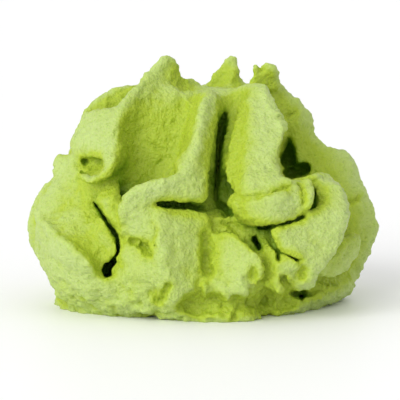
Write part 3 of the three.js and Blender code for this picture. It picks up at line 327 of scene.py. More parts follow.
lobes = [
    fold("front_face",
         [(0.6, -5.3, 19.9), (-0.1, -7.2, 18.5), (-0.4, -8.6, 16.8), (-0.7, -10, 15.1),
          (-1.4, -11.3, 13.5), (-2.4, -12.1, 12.7), (-3.6, -12.6, 12.4), (-5, -12.8, 12),
          (-6.2, -12.7, 11.6), (-6.9, -12.3, 10.6)],
         [(1.1, -4.9, 19), (0.8, -6.2, 17.9), (0.5, -7.6, 16.2), (0.2, -9, 14.3), (0, -10.4, 12.3),
          (-0.1, -11.2, 10.9), (-1.5, -11.8, 10.8), (-3.2, -12.1, 10.8), (-5, -12.2, 10.2),
          (-6.1, -11.8, 8.8)], 0.45, 0.55),
    fold("front_lip",
         [(-0.4, -11.2, 12), (-1.6, -11.8, 12.4), (-3.1, -12.4, 12.3), (-4.8, -12.7, 12),
          (-6.1, -12.6, 11.5), (-6.8, -12.2, 10.3), (-6.9, -11.9, 9), (-6.4, -11.6, 8.1)],
         [(0.1, -7, 9.7), (-3, -8, 9.2), (-5, -8.5, 9), (-5.2, -8.8, 8.4)], (0.5, 0.7), 1.2, 0.9),
    fold("petal",
         [(5.5, -3.4, 20.7), (5.6, -5, 19.6), (6.2, -6.1, 18.4), (7, -7.2, 17.2), (7.3, -8, 15.8),
          (7, -8.7, 14.7), (6.4, -9.2, 13.8), (6.5, -9.6, 13.1)],
         [(3.3, -1, 19.3), (3, -2.7, 16.9), (2.9, -4.8, 14.8), (2.9, -6.6, 13.3),
          (3, -7.8, 12.3)], 0.35, 2.2, 0.65),
    fold("petal_face",
         [(5.3, -5, 19), (5.7, -5.8, 18.1), (6.3, -6.9, 17.1), (6.7, -8, 15.9), (6.3, -9, 14.8),
          (6, -9.6, 13.8), (6.6, -10.4, 12.9), (7.4, -11.4, 12.1), (7.9, -12, 11.3)],
         [(3.6, -4.6, 18.8), (3.3, -5.6, 17.8), (3, -6.6, 16.9), (2.8, -7.6, 15.9),
          (2.6, -8.4, 14.9), (2.5, -9, 13.9), (2.4, -9.8, 12.9), (2.4, -10.8, 12.1),
          (2.7, -11.5, 11.3)], 0.5, 0.7),
    fold("rolled_lobe",
         [(6.1, -9.6, 13.5), (6.8, -10.4, 12.6), (7.5, -11, 11.8), (7.9, -11.5, 10.9),
          (7.7, -11.7, 10), (6.7, -12, 9.4), (5.3, -12, 9.2), (4.1, -11.5, 9.2), (3.2, -10.8, 9.7),
          (2.8, -10, 10.7)],
         [(3.3, -5.6, 13.4), (4.5, -6.9, 12.6), (4.6, -7.2, 12.1), (4.3, -7.2, 11.9),
          (3.8, -6.8, 12.2)], 0.75, 2.4, 0.5),
    fold("lobe_roll",
         [(2.2, -9.8, 10.4), (2.9, -11, 10.4), (4, -12, 10.7), (5.3, -12.5, 10.8),
          (6.6, -12.4, 10.9), (7.7, -11.9, 10.7)],
         [(2.8, -9.8, 9.8), (3.6, -11, 9.5), (4.6, -11.8, 9.3), (5.7, -12.2, 9.4), (6.8, -12, 9.6),
          (7.7, -11.6, 10)], 0.7, 0.8),
    fold("ear",
         [(8.7, -9.8, 12.3), (9.1, -10.6, 12), (9.2, -11.4, 11.4), (9.1, -11.9, 10.9),
          (9, -12.1, 10.4), (8.5, -12.1, 9.9)],
         [(8.3, -9.8, 11.9), (8.7, -10.6, 11.5), (8.8, -11.4, 11.3), (8.8, -11.9, 10.9),
          (8.5, -12.1, 10.5), (8.2, -12.1, 10.1)], 0.45, 0.5),
    fold("ear_top",
         [(8.2, -8.6, 12.3), (8.8, -8.8, 12.4), (9.5, -9, 12.4), (10.3, -9, 12.2)],
         [(8.3, -7.4, 11.1), (8.9, -7.6, 11.1), (9.5, -7.6, 11.1), (10.2, -7.6, 10.9)], 0.5, 1.2),
    fold("curl",
         [(9.5, -8, 12.3), (10.3, -8.2, 12.2), (11.1, -8.6, 11.8), (11.7, -9.2, 11),
          (12.1, -9.7, 10), (12, -10.2, 8.9), (11.8, -10.6, 7.8), (11.3, -11, 6.7),
          (10.4, -11.4, 5.5), (9.4, -11.6, 4.3), (8.5, -11.6, 3.5), (7.7, -11.4, 3.3)],
         [(8.5, -4.5, 11.1), (8.7, -6, 9.1), (7.8, -7, 7.6), (7.6, -8, 6.5)], 0.5, 2.2, 0.5),
    fold("curl_face",
         [(10.3, -9, 12.2), (11.3, -9.5, 11.6), (11.8, -10, 10.7), (12, -10.5, 9.6),
          (12, -10.9, 8.5), (11.7, -11.2, 7.4), (11.1, -11.5, 6.3), (10.3, -11.8, 5.3),
          (9.6, -11.9, 4.4), (9.2, -11.8, 3.6)],
         [(9.8, -9.2, 11.6), (10, -9.6, 10.9), (10.3, -10, 10.1), (8.9, -11.2, 9.4),
          (6.9, -12, 8.7), (6.2, -12.3, 8), (6.2, -12.4, 7.1), (7.3, -12.5, 6.5), (8.6, -12.5, 5.6),
          (8.9, -12.4, 4.8)], 0.5, 0.55),
    fold("behind_curl",
         [(12.8, -6.4, 7), (13.4, -6.4, 6.6), (13.4, -6.6, 5.9), (13.1, -7, 5.2), (12.4, -7.6, 4.5),
          (11.5, -8.4, 3.9), (10.4, -9, 3.5)],
         [(11.8, -7.8, 6.7), (11.8, -8, 6), (11.6, -8.3, 5.6), (11, -8.7, 5), (10.4, -9.2, 4.5),
          (9.6, -9.8, 4)], 0.6, 0.9),
    fold("behind_curl_root",
         [(13.1, -5, 6.2), (13.3, -5, 5.3), (12.6, -6, 4.5), (11.6, -7, 3.8)],
         [(11.5, -2.5, 5.9), (11, -3, 4.6)], 0.6, 2, 0.7),
    fold("left_crest",
         [(-15.4, -3.6, 8.6), (-14.1, -7, 8), (-12.8, -9.4, 7.2), (-11.6, -10.9, 6.5),
          (-10.4, -11.6, 5.6), (-9.3, -11.7, 4.5)],
         [(-13, -4, 6.8), (-11.5, -5, 5.7), (-10.2, -5.6, 4.9),
          (-9.3, -6, 4.2)], (0.35, 0.45), 0.9, 0.9),
    fold("left_rim",
         [(-15.2, -4, 8.5), (-14, -7.2, 7.8), (-12.8, -9.6, 7.1), (-11.6, -11, 6.3),
          (-10.4, -11.6, 5.4), (-9.5, -11.6, 4.5)],
         [(-15, -3, 6.2), (-14.4, -4.6, 4.9), (-13.6, -5.8, 3.3), (-12.7, -6.4, 1.8),
          (-11, -7.6, 1.2), (-9.2, -9, 1.2)], 0.45, 0.7),
    fold("left_scoop",
         [(-13.8, -5.2, 8.8), (-12.6, -7.8, 8), (-11.3, -9.4, 7), (-10.2, -10.2, 6),
          (-9.3, -10.2, 5), (-8.9, -9.8, 4.5)],
         [(-10, -7, 10.3), (-9.4, -7.6, 9.6), (-8.8, -8, 8.6), (-8.2, -8.4, 7.6), (-7.9, -8.6, 6.7),
          (-8.3, -8.6, 5.5)], 0.5, 0.4),
    fold("under_hook",
         [(-9.6, -7.6, 11.3), (-8.8, -7.8, 11.3), (-8.2, -7.6, 11.4), (-7.5, -7, 11.8)],
         [(-9.5, -8.4, 10.3), (-8.8, -9, 10.2), (-8.1, -9.6, 10.1), (-7.4, -10.2, 10.2)], 0.5, 0.7),
    fold("left_middle",
         [(-9.4, -8, 10.6), (-8.7, -8.6, 9.8), (-8.1, -9.2, 8.9), (-7.5, -9.6, 7.9),
          (-7, -9.8, 6.9), (-7, -9.8, 6), (-7.4, -9.6, 5)],
         [(-7.2, -9.2, 10.2), (-6.8, -10, 9.5), (-6.4, -10.5, 8.7), (-6, -10.6, 7.8),
          (-5.6, -10.6, 6.9), (-5.7, -10.4, 6), (-6.2, -10, 5)], 0.4, 0.8),
    fold("left_low",
         [(-14.6, -4, 6.1), (-14.3, -5, 5.2), (-13.2, -6.5, 4.1), (-12.6, -7.2, 2.8),
          (-12.3, -7, 1.6)],
         [(-10.8, -3, 5), (-9.9, -4, 3.5), (-9.4, -4, 2)], 0.7, 3, 0.7),
    fold("left_low_front",
         [(-11.7, -8.8, 4.8), (-10.6, -9.6, 3.7), (-9.9, -9.4, 2.4), (-9.6, -8.2, 1.1)],
         [(-9.5, -3, 4), (-8.6, -3, 1.8)], 1.2, 3, 0.7),
    fold("lower_rib",
         [(-4.7, -11.8, 9.8), (-3.9, -12.7, 8.6), (-3.6, -13.1, 6.5), (-3.2, -13.1, 4.3),
          (-2.7, -12.6, 2.3), (-2.4, -12, 0.9)],
         [(-3.7, -7, 7.9), (-3, -8, 4.9), (-2.3, -8, 2.2), (-2.3, -8, 1)], (0.8, 1.2), 3.2),
    fold("lower_rib_face",
         [(-4.6, -11.9, 10.2), (-3.8, -12.8, 9.3), (-3.4, -13.3, 6.9), (-3, -13.2, 5),
          (-2.5, -12.4, 3.2)],
         [(0.2, -10.8, 9.8), (0.1, -11.4, 8.1), (0.1, -11.5, 6.3), (0.1, -11.8, 5),
          (0.1, -11.8, 4.1)], 0.5, 0.6),
    fold("lower_rib_left",
         [(-6.3, -11.5, 9.4), (-6.6, -11.4, 7.9), (-6, -11.6, 7.4), (-4.9, -12, 7.4)],
         [(-4.8, -8, 8.9), (-4.8, -9, 7.3)], 0.8, 1.8, 0.8),
    fold("lip_skirt",
         [(-7.1, -12.3, 10.2), (-6.7, -12, 9.4), (-6.4, -11.7, 8.5), (-6.1, -11.4, 7.5)],
         [(-4.9, -12.3, 10.2), (-4.8, -12.3, 9.4), (-4.7, -12.4, 8.5),
          (-4.6, -12.4, 7.7)], 0.5, 0.6),
    fold("bump",
         [(1.9, -11.8, 8.2), (3.1, -12.6, 7.1), (4.2, -13.1, 6.3), (5, -13.4, 5.2), (5, -13.3, 4.3),
          (4.4, -13, 3.3)],
         [(0.4, -10.8, 7.3), (0.4, -11.4, 6), (0.4, -11.8, 4.8), (0.7, -12, 3.7),
          (1.3, -12, 2.9)], 0.4, 0.6),
    fold("bump_base",
         [(2.1, -11.6, 6.8), (3.4, -12.5, 5.4), (3.4, -12.7, 3.8), (2.6, -12.3, 2.4),
          (1.8, -11.8, 1)],
         [(1.6, -8, 5.8), (1.9, -8, 3.1), (1.9, -8, 1.5)], 1, 2.6, 0.8),
    fold("small_ridge",
         [(5.5, -10.6, 7.2), (6.1, -11.7, 6.2), (6.5, -12.3, 5), (6.6, -12.4, 3.8),
          (6.3, -12, 2.6)],
         [(4.8, -8, 5.3), (4.5, -9, 3.4)], 0.8, 2, 0.8),
    fold("small_nose",
         [(6.5, -12.2, 6.4), (7.2, -12.6, 6.1), (7.9, -12.8, 5.7), (8.3, -12.8, 5.3),
          (8.3, -12.6, 4.9), (8, -12.2, 4.4)],
         [(6.6, -11.6, 5.3), (7, -12, 4.9), (7.3, -12.1, 4.6), (7.5, -12, 4.3), (7.5, -11.8, 4.2),
          (7.4, -11.4, 3.9)], 0.4, 0.5),
    fold("curl_end",
         [(9.8, -11.2, 3.4), (9.2, -11.2, 3), (8.4, -11, 2.8), (7.7, -10.7, 2.8),
          (7.2, -10.4, 3.1)],
         [(9.6, -12.2, 4.5), (9, -12.1, 4), (8.4, -11.9, 3.8), (7.8, -11.6, 3.9),
          (7.5, -11.2, 4)], 0.45, 0.5),
    fold("foot_left",
         [(-13, 1, 0.3), (-12.8, -2.4, 0.2), (-11.8, -5, 0.2), (-9.8, -7, 0.3), (-7.2, -8.4, 0.3),
          (-4.4, -10, 0.4)],
         [(-8.8, 2, 0.8), (-7, 0, 1), (-5.4, -2, 1.2)], 1, 2.4, 0.7),
    fold("foot_left_middle",
         [(-9.9, -9.4, 3.3), (-8.4, -10, 2.8), (-7, -10.4, 2.6)],
         [(-9.9, -8, 1.5), (-8.3, -8.8, 1.3), (-6.9, -9.2, 1.1)], 0.8, 0.9),
    fold("foot_left_front",
         [(-8.1, -9, 3.1), (-7, -10.2, 5.6), (-5.5, -11.2, 5.7), (-4.5, -12, 4.4),
          (-4.2, -11.6, 2.6)],
         [(-6.7, -5, 3.5), (-4.8, -6, 2.3)], 1.3, 3.4, 0.7),
    fold("base_face_left",
         [(-9.8, -11, 3.9), (-8.6, -10.8, 3.5), (-7.3, -11, 3.9), (-5.9, -12.2, 4.7),
          (-4.7, -13, 5.1)],
         [(-10.1, -8.6, 1.3), (-8.7, -9.2, 1.2), (-7.2, -9.8, 1.2), (-5.6, -10.6, 1.1),
          (-4, -11.4, 1.1)], 0.5, 0.7),
    fold("base_face_middle",
         [(-2.4, -13.1, 3.4), (-1.4, -12.9, 3.5), (-0.4, -12.6, 3.5), (0.7, -12.7, 3.3),
          (1.9, -12.9, 3.1)],
         [(-2.5, -11.6, 1), (-1.4, -11.3, 0.9), (-0.4, -11.2, 0.8), (0.7, -11.2, 0.8),
          (1.9, -11.3, 0.7)], 0.5, 0.6),
    fold("foot_front",
         [(-4.8, -9.9, 1.2), (-1.2, -11, 0.8), (2.7, -11, 0.8), (5.3, -9.8, 1.2)],
         [(-1.3, -4, 0.6), (2.4, -4, 0.6)], 1.2, 3, 0.7),
    fold("foot_right",
         [(5.1, -9.8, 1.2), (8.1, -7.5, 1.2), (10.9, -4.5, 1.6), (12.7, -1.5, 1.9)],
         [(5.2, 0, 0.7), (9, 2, 1)], 1.2, 3, 0.7),
    fold("foot_right_side",
         [(9.6, -6.4, 1.5), (11.4, -4.4, 1.5), (12.6, -2, 1.5), (13, 0, 1.4), (12.7, 2, 1.3)],
         [(7.6, -3.6, 1), (9, -2, 1), (9.6, 0, 1), (9.6, 2, 1)], (0.9, 1), 2.4),
    fold("left_tip",
         [(-6, -3, 20), (-5.8, -3, 20.6), (-5.2, -2.9, 21.1), (-4.5, -2.6, 21.6),
          (-3.8, -2.2, 22.2), (-3.3, -1.9, 22.7)],
         [(-1.8, -1, 19.6), (-2, -1.1, 20.4), (-2.4, -1.2, 20.9), (-2.7, -1.4, 21.6),
          (-3, -1.6, 22), (-3.1, -1.8, 22.6)], 0.35, 0.4),
    fold("small_tip",
         [(-1.9, -0.6, 20), (-1.4, -0.4, 20.3), (-0.8, -0.2, 20), (-0.2, 0, 19.5)],
         [(-1.8, -0.6, 18.9), (-1.3, -0.4, 18.9), (-0.7, -0.2, 18.9), (-0.2, 0, 18.7)], 0.3, 0.9),
    fold("back_tip",
         [(0.3, 4, 19.3), (0.7, 4, 19.9), (1.2, 4, 20.7), (1.8, 4.1, 21.2), (2.3, 4.2, 21.8),
          (2.8, 4.2, 22.5)],
         [(3.5, 3.8, 19.3), (3.3, 3.8, 19.9), (2.9, 3.9, 20.5), (2.7, 4, 21.1), (2.8, 4.1, 21.7),
          (2.9, 4.2, 22.4)], 0.35, 0.35),
    fold("back_tip_ridge",
         [(2.2, 5.8, 18.6), (2.4, 5.2, 19.6), (2.6, 4.8, 20.6), (2.8, 4.4, 21.6)],
         [(2.3, 2.4, 18.6), (2.5, 3, 19.6), (2.7, 3.5, 20.6), (2.9, 3.9, 21.6)], (0.7, 0.35), 0.5),
    fold("right_tip",
         [(4.1, -1.6, 19.3), (4.2, -1.6, 20.1), (4.7, -1.6, 20.7), (4.8, -1.6, 21.2),
          (4.7, -1.6, 21.7)],
         [(7, -0.4, 19.2), (6.6, -0.6, 20.2), (6.5, -0.9, 20.8), (6.3, -1.1, 21.3),
          (6.2, -1.3, 21.7)], 0.35, 0.45),
    fold("right_tip_peaks",
         [(4.8, -1.6, 20.8), (4.6, -1.6, 21.3), (4.6, -1.6, 21.9)],
         [(5.3, -1.6, 20.8), (5.2, -1.6, 21.3), (4.9, -1.6, 21.8)], 0.3, 0.3),
    fold("right_tip_peak",
         [(5.4, -1.5, 20.9), (5.5, -1.5, 21.5), (5.7, -1.5, 22)],
         [(6.4, -1.4, 20.9), (6.2, -1.4, 21.4), (6, -1.4, 21.9)], 0.3, 0.3),
]

LOBE_FILLING = (3, 0.5, 0.05)
dollop = merge([dollop] + lobes)
reskin(dollop, RIB_CELL)
fill_valleys(dollop, *LOBE_FILLING)

# ---------------------------------------------------------------------------------------------
# Gaps: deep, dark clefts that stay open where two folds lean on each other without joining. Each
# is a thin wedge taken out of the paste, from a place in front of it down to the gap's floor. The
# last two are only nicks in the right rim.
# ---------------------------------------------------------------------------------------------

OUTSIDE = -14.5
gaps = [
    fold("front_gap",
         [(1.9, OUTSIDE, 19.2), (1.8, OUTSIDE, 17.9), (1.5, OUTSIDE, 16.6), (1.4, OUTSIDE, 15.3),
          (1.4, OUTSIDE, 14), (1.2, OUTSIDE, 12.8), (1.1, OUTSIDE, 11.5), (1.2, OUTSIDE, 10.3)],
         [(1.9, -2.6, 18.3), (1.7, -2.8, 16.9), (1.4, -3, 15.5), (1.2, -3.6, 14.2), (1.2, -4.4, 13),
          (1.1, -5.4, 11.7), (1, -6.4, 10.5), (1.2, -7, 9.4)], 0.42, 0.35),
    fold("right_gap",
         [(7.2, OUTSIDE, 17), (7.2, OUTSIDE, 16.3), (7.1, OUTSIDE, 15.5), (7.1, OUTSIDE, 14.6),
          (7.2, OUTSIDE, 13.8)],
         [(7.8, -1, 15.8), (7.8, 0.8, 14.8), (7.8, 2, 13.9), (7.8, 2.8, 12.8),
          (7.9, 2.8, 11.9)], (0.2, 1.35), 0.8),
    fold("over_curl",
         [(6.8, OUTSIDE, 13.9), (7.2, OUTSIDE, 13.4), (7.7, OUTSIDE, 13.5), (8.4, OUTSIDE, 13.7),
          (9.2, OUTSIDE, 13.8)],
         [(7.4, 2, 12.1), (7.9, 2.6, 11.5), (8.5, 2.6, 11.6), (9.2, 2, 11.9),
          (10, 1.2, 12.1)], 0.68, 0.68),
    fold("ear_gap",
         [(9.3, OUTSIDE, 11.9), (9.5, OUTSIDE, 11.3), (9.4, OUTSIDE, 10.7), (9.1, OUTSIDE, 10.2)],
         [(9.6, -9.4, 11.3), (9.8, -9, 10.6), (9.7, -9, 10), (9.3, -9.6, 9.6)], (0.17, 0.22), 0.2),
    fold("under_lip",
         [(-4.6, OUTSIDE, 10.7), (-3.5, OUTSIDE, 10.7), (-2.4, OUTSIDE, 10.6),
          (-1.4, OUTSIDE, 10.5), (-0.4, OUTSIDE, 10.3), (0.7, OUTSIDE, 10.3)],
         [(-4.7, -10.4, 10.2), (-3.6, -9.4, 10), (-2.5, -8.6, 9.9), (-1.4, -8.2, 9.7),
          (-0.4, -8, 9.5), (0.7, -8, 9.4)], (0.18, 0.27), 0.2),
    fold("under_lobe",
         [(8.8, OUTSIDE, 9.9), (8.2, OUTSIDE, 9.5), (7.5, OUTSIDE, 9.2), (6.6, OUTSIDE, 9),
          (5.8, OUTSIDE, 8.8), (4.9, OUTSIDE, 8.7), (4.2, OUTSIDE, 8.8)],
         [(9.1, -10, 9.3), (8.4, -10.4, 9), (7.7, -10.6, 8.7), (6.8, -10.4, 8.4), (6, -9, 8.1),
          (5.1, -8.4, 7.9), (4.4, -8, 7.9)], 0.2, 0.2),
    fold("round_curl",
         [(5.5, OUTSIDE, 8.5), (5.7, OUTSIDE, 7.8), (5.9, OUTSIDE, 7.2), (6.4, OUTSIDE, 6.7),
          (7.2, OUTSIDE, 6.3), (7.8, OUTSIDE, 5.9), (8.4, OUTSIDE, 5.5)],
         [(5.6, -9.6, 7.8), (5.8, -10, 7.1), (6, -10.8, 6.6), (6.5, -11.4, 6.2), (7.3, -11.6, 5.8),
          (8, -11.8, 5.5), (8.6, -12, 5.1)], 0.18, 0.18),
    fold("beside_nose",
         [(6.2, OUTSIDE, 6.7), (6.3, OUTSIDE, 6.2), (6.5, OUTSIDE, 5.6)],
         [(6.3, -10.6, 6.2), (6.4, -10.6, 5.6), (6.6, -10.6, 5)], 0.19, 0.2),
    fold("curl_notch",
         [(6.7, OUTSIDE, 4.6), (6.8, OUTSIDE, 4.1), (7, OUTSIDE, 3.7), (7.3, OUTSIDE, 3.4)],
         [(6.9, -10, 3.9), (7, -9.8, 3.4), (7.2, -9.4, 2.9), (7.6, -9, 2.5)], (0.36, 0.26), 0.3),
    fold("below_curl",
         [(7.1, OUTSIDE, 3.3), (7.6, OUTSIDE, 3), (8.3, OUTSIDE, 2.9), (9, OUTSIDE, 3.1),
          (9.7, OUTSIDE, 3.4), (10.2, OUTSIDE, 3.6), (11.1, OUTSIDE, 3.8)],
         [(7.4, -7.4, 2.1), (7.9, -6.6, 1.7), (8.7, -6.4, 1.6), (9.4, -6.6, 1.7), (10.1, -7, 2.1),
          (10.7, -7, 2.4), (11.6, -6.6, 2.5)], (0.24, 0.28), 0.3),
    fold("corner",
         [(1.2, OUTSIDE, 10.9), (1.5, OUTSIDE, 10.5), (2, OUTSIDE, 10), (2.4, OUTSIDE, 9.5)],
         [(1.2, -7.4, 10), (1.6, -7.4, 9.6), (2.1, -7.8, 9.2), (2.5, -8.4, 8.7)], 0.4, 0.45),
    fold("pit",
         [(4.2, OUTSIDE, 8), (4.4, OUTSIDE, 7.6), (4.6, OUTSIDE, 7.1), (4.8, OUTSIDE, 6.5)],
         [(4.3, -8, 7.1), (4.5, -8, 6.7), (4.8, -8.4, 6.2), (5, -9, 5.7)], (0.36, 0.14), 0.24),
    fold("left_crease",
         [(-9.7, OUTSIDE, 11.1), (-9.2, OUTSIDE, 10.4), (-8.7, OUTSIDE, 9.8), (-8.2, OUTSIDE, 9),
          (-7.7, OUTSIDE, 8.3), (-7.4, OUTSIDE, 7.6), (-7.3, OUTSIDE, 6.7), (-7.8, OUTSIDE, 5.8)],
         [(-10.1, -5, 10), (-9.6, -4.6, 9.2), (-9.2, -4.4, 8.4), (-8.6, -4.6, 7.7), (-8.1, -5.2, 7),
          (-7.7, -5.8, 6.4), (-7.6, -6.4, 5.5), (-8.1, -6.4, 4.6)], (0.19, 0.2), 0.2),
    fold("left_hole",
         [(-7.6, OUTSIDE, 6), (-8.3, OUTSIDE, 5.3), (-8.2, OUTSIDE, 4.4)],
         [(-7.8, -7, 4.7), (-8.7, -6.8, 4), (-8.6, -7.4, 3.1)], (0.3, 0.4), 0.34),
    fold("pocket",
         [(-10.7, OUTSIDE, 14.4), (-10.1, OUTSIDE, 14.4), (-9.4, OUTSIDE, 14.4),
          (-8.9, OUTSIDE, 14.4), (-8.4, OUTSIDE, 14.4)],
         [(-11.2, -4.4, 13.3), (-10.6, -4.9, 13.4), (-9.8, -5.6, 13.4), (-9.3, -6.2, 13.5),
          (-8.7, -6.8, 13.6)], 0.36, 0.36),
    fold("pocket_middle",
         [(-10.6, OUTSIDE, 14), (-9.9, OUTSIDE, 14), (-9.3, OUTSIDE, 13.9), (-8.8, OUTSIDE, 13.9),
          (-8.4, OUTSIDE, 14)],
         [(-11.1, -4.8, 13), (-10.4, -5.6, 13.1), (-9.7, -6.3, 13.1), (-9.1, -7, 13.2),
          (-8.8, -7.5, 13.3)], 0.36, 0.4),
    fold("pocket_lower",
         [(-10.3, OUTSIDE, 13.7), (-9.8, OUTSIDE, 13.5), (-9.3, OUTSIDE, 13.5),
          (-8.8, OUTSIDE, 13.6)],
         [(-10.8, -6, 12.7), (-10.2, -7, 12.7), (-9.6, -7.7, 12.8), (-9.1, -8.2, 12.9)], 0.3, 0.34),
    fold("under_curl",
         [(8.2, OUTSIDE, 3.2), (8.2, OUTSIDE, 2.8), (8.2, OUTSIDE, 2.4)],
         [(8.6, -5, 1.6), (8.7, -4.8, 1.2), (8.6, -5, 0.8)], (0.5, 0.3), 0.36),
    fold("rim_notch",
         [(15.6, -3, 10.5), (14.8, -3, 10.5)],
         [(16.4, 7, 9.4), (15.5, 7, 9.3)], 0.22, 0.25),
    fold("low_rim_notch",
         [(15.7, -4, 4.2), (14.6, -4, 4.3)],
         [(16.6, 6, 2.7), (15.4, 6, 2.8)], 0.25, 0.25),
]

GAP_CELL = 0.12
SKIN_CELL = 0.15
SKIN_FILLING = (3, 0.4, 0.3)
cutter = merge(gaps)
reskin(cutter, GAP_CELL)
carve = dollop.modifiers.new("carve", "BOOLEAN")
carve.operation = "DIFFERENCE"
carve.solver = "EXACT"
carve.object = cutter
bpy.context.view_layer.objects.active = dollop
bpy.ops.object.modifier_apply(modifier="carve")
bpy.data.objects.remove(cutter)
reskin(dollop, SKIN_CELL)
fill_valleys(dollop, *SKIN_FILLING)

# ---------------------------------------------------------------------------------------------
# Creases, pinched edges and dents: finer than the folds, pressed into the skin as seen from the
# camera. Every stroke is a line of (right, up) places, its reach, how deep it presses, how sharp
# its bottom is and the step it leaves between its two sides.
# ---------------------------------------------------------------------------------------------

# The folds are drawn about the nozzle's axis. In the end this brings the dollop's middle there.
CENTRING = Vector((-0.07, 0.09, 0))
STROKE_SPACING = 0.2
SHARP_FADE = 1.2
STEP_FADE = 1.5
STEP_WIDTH = 0.25
drawing_eye = eye - CENTRING


def seen_tree(paste):
    """The paste's skin, ready for rays to be shot at it."""
    cage = bmesh.new()
    cage.from_mesh(paste.data)
    tree = BVHTree.FromBMesh(cage)
    cage.free()
    return tree


def press(points, tree, line, reach, depth, sharp, step):
    """Presses a line into the paste, or pulls it out where depth is below zero. A step raises the
    paste left of the line's run and lowers it on the right."""
    flat = np.array(line, float)
    length = np.linalg.norm(np.diff(flat, axis=0), axis=1).sum()
    spots, ways = [], []
    for right, up in flowing_line(flat, max(3, int(length / STROKE_SPACING))):
        ray = (Vector((right, 0, up)) - drawing_eye).normalized()
        hit, normal, _, _ = tree.ray_cast(drawing_eye * MM, ray, 1)
        if hit is not None:
            spots.append(hit / MM)
            ways.append((normal - ray).normalized())
    spots, ways = np.array(spots), np.array(ways)
    within = (points > spots.min(0) - reach) & (points < spots.max(0) + reach)
    near = np.nonzero(within.all(1))[0]
    distance = np.linalg.norm(points[near][:, None] - spots[None], axis=2)
    closest = distance.argmin(1)
    share = distance[np.arange(len(near)), closest] / reach
    near, closest, share = near[share < 1], closest[share < 1], share[share < 1]
    amount = -depth * ((1 - sharp) * (1 - share**2) ** 2 + sharp * (1 - share) ** SHARP_FADE)
    if step:
        run = np.gradient(spots, axis=0)[closest]
        leftward = np.cross(run, -np.array(towards_camera))
        left = ((points[near] - spots[closest]) * leftward).sum(1)
        left = left / np.maximum(np.linalg.norm(leftward, axis=1), 1e-6)
        amount += step * np.clip(left / STEP_WIDTH, -1, 1) * (1 - share) ** STEP_FADE
    points[near] += ways[closest] * amount[:, None]


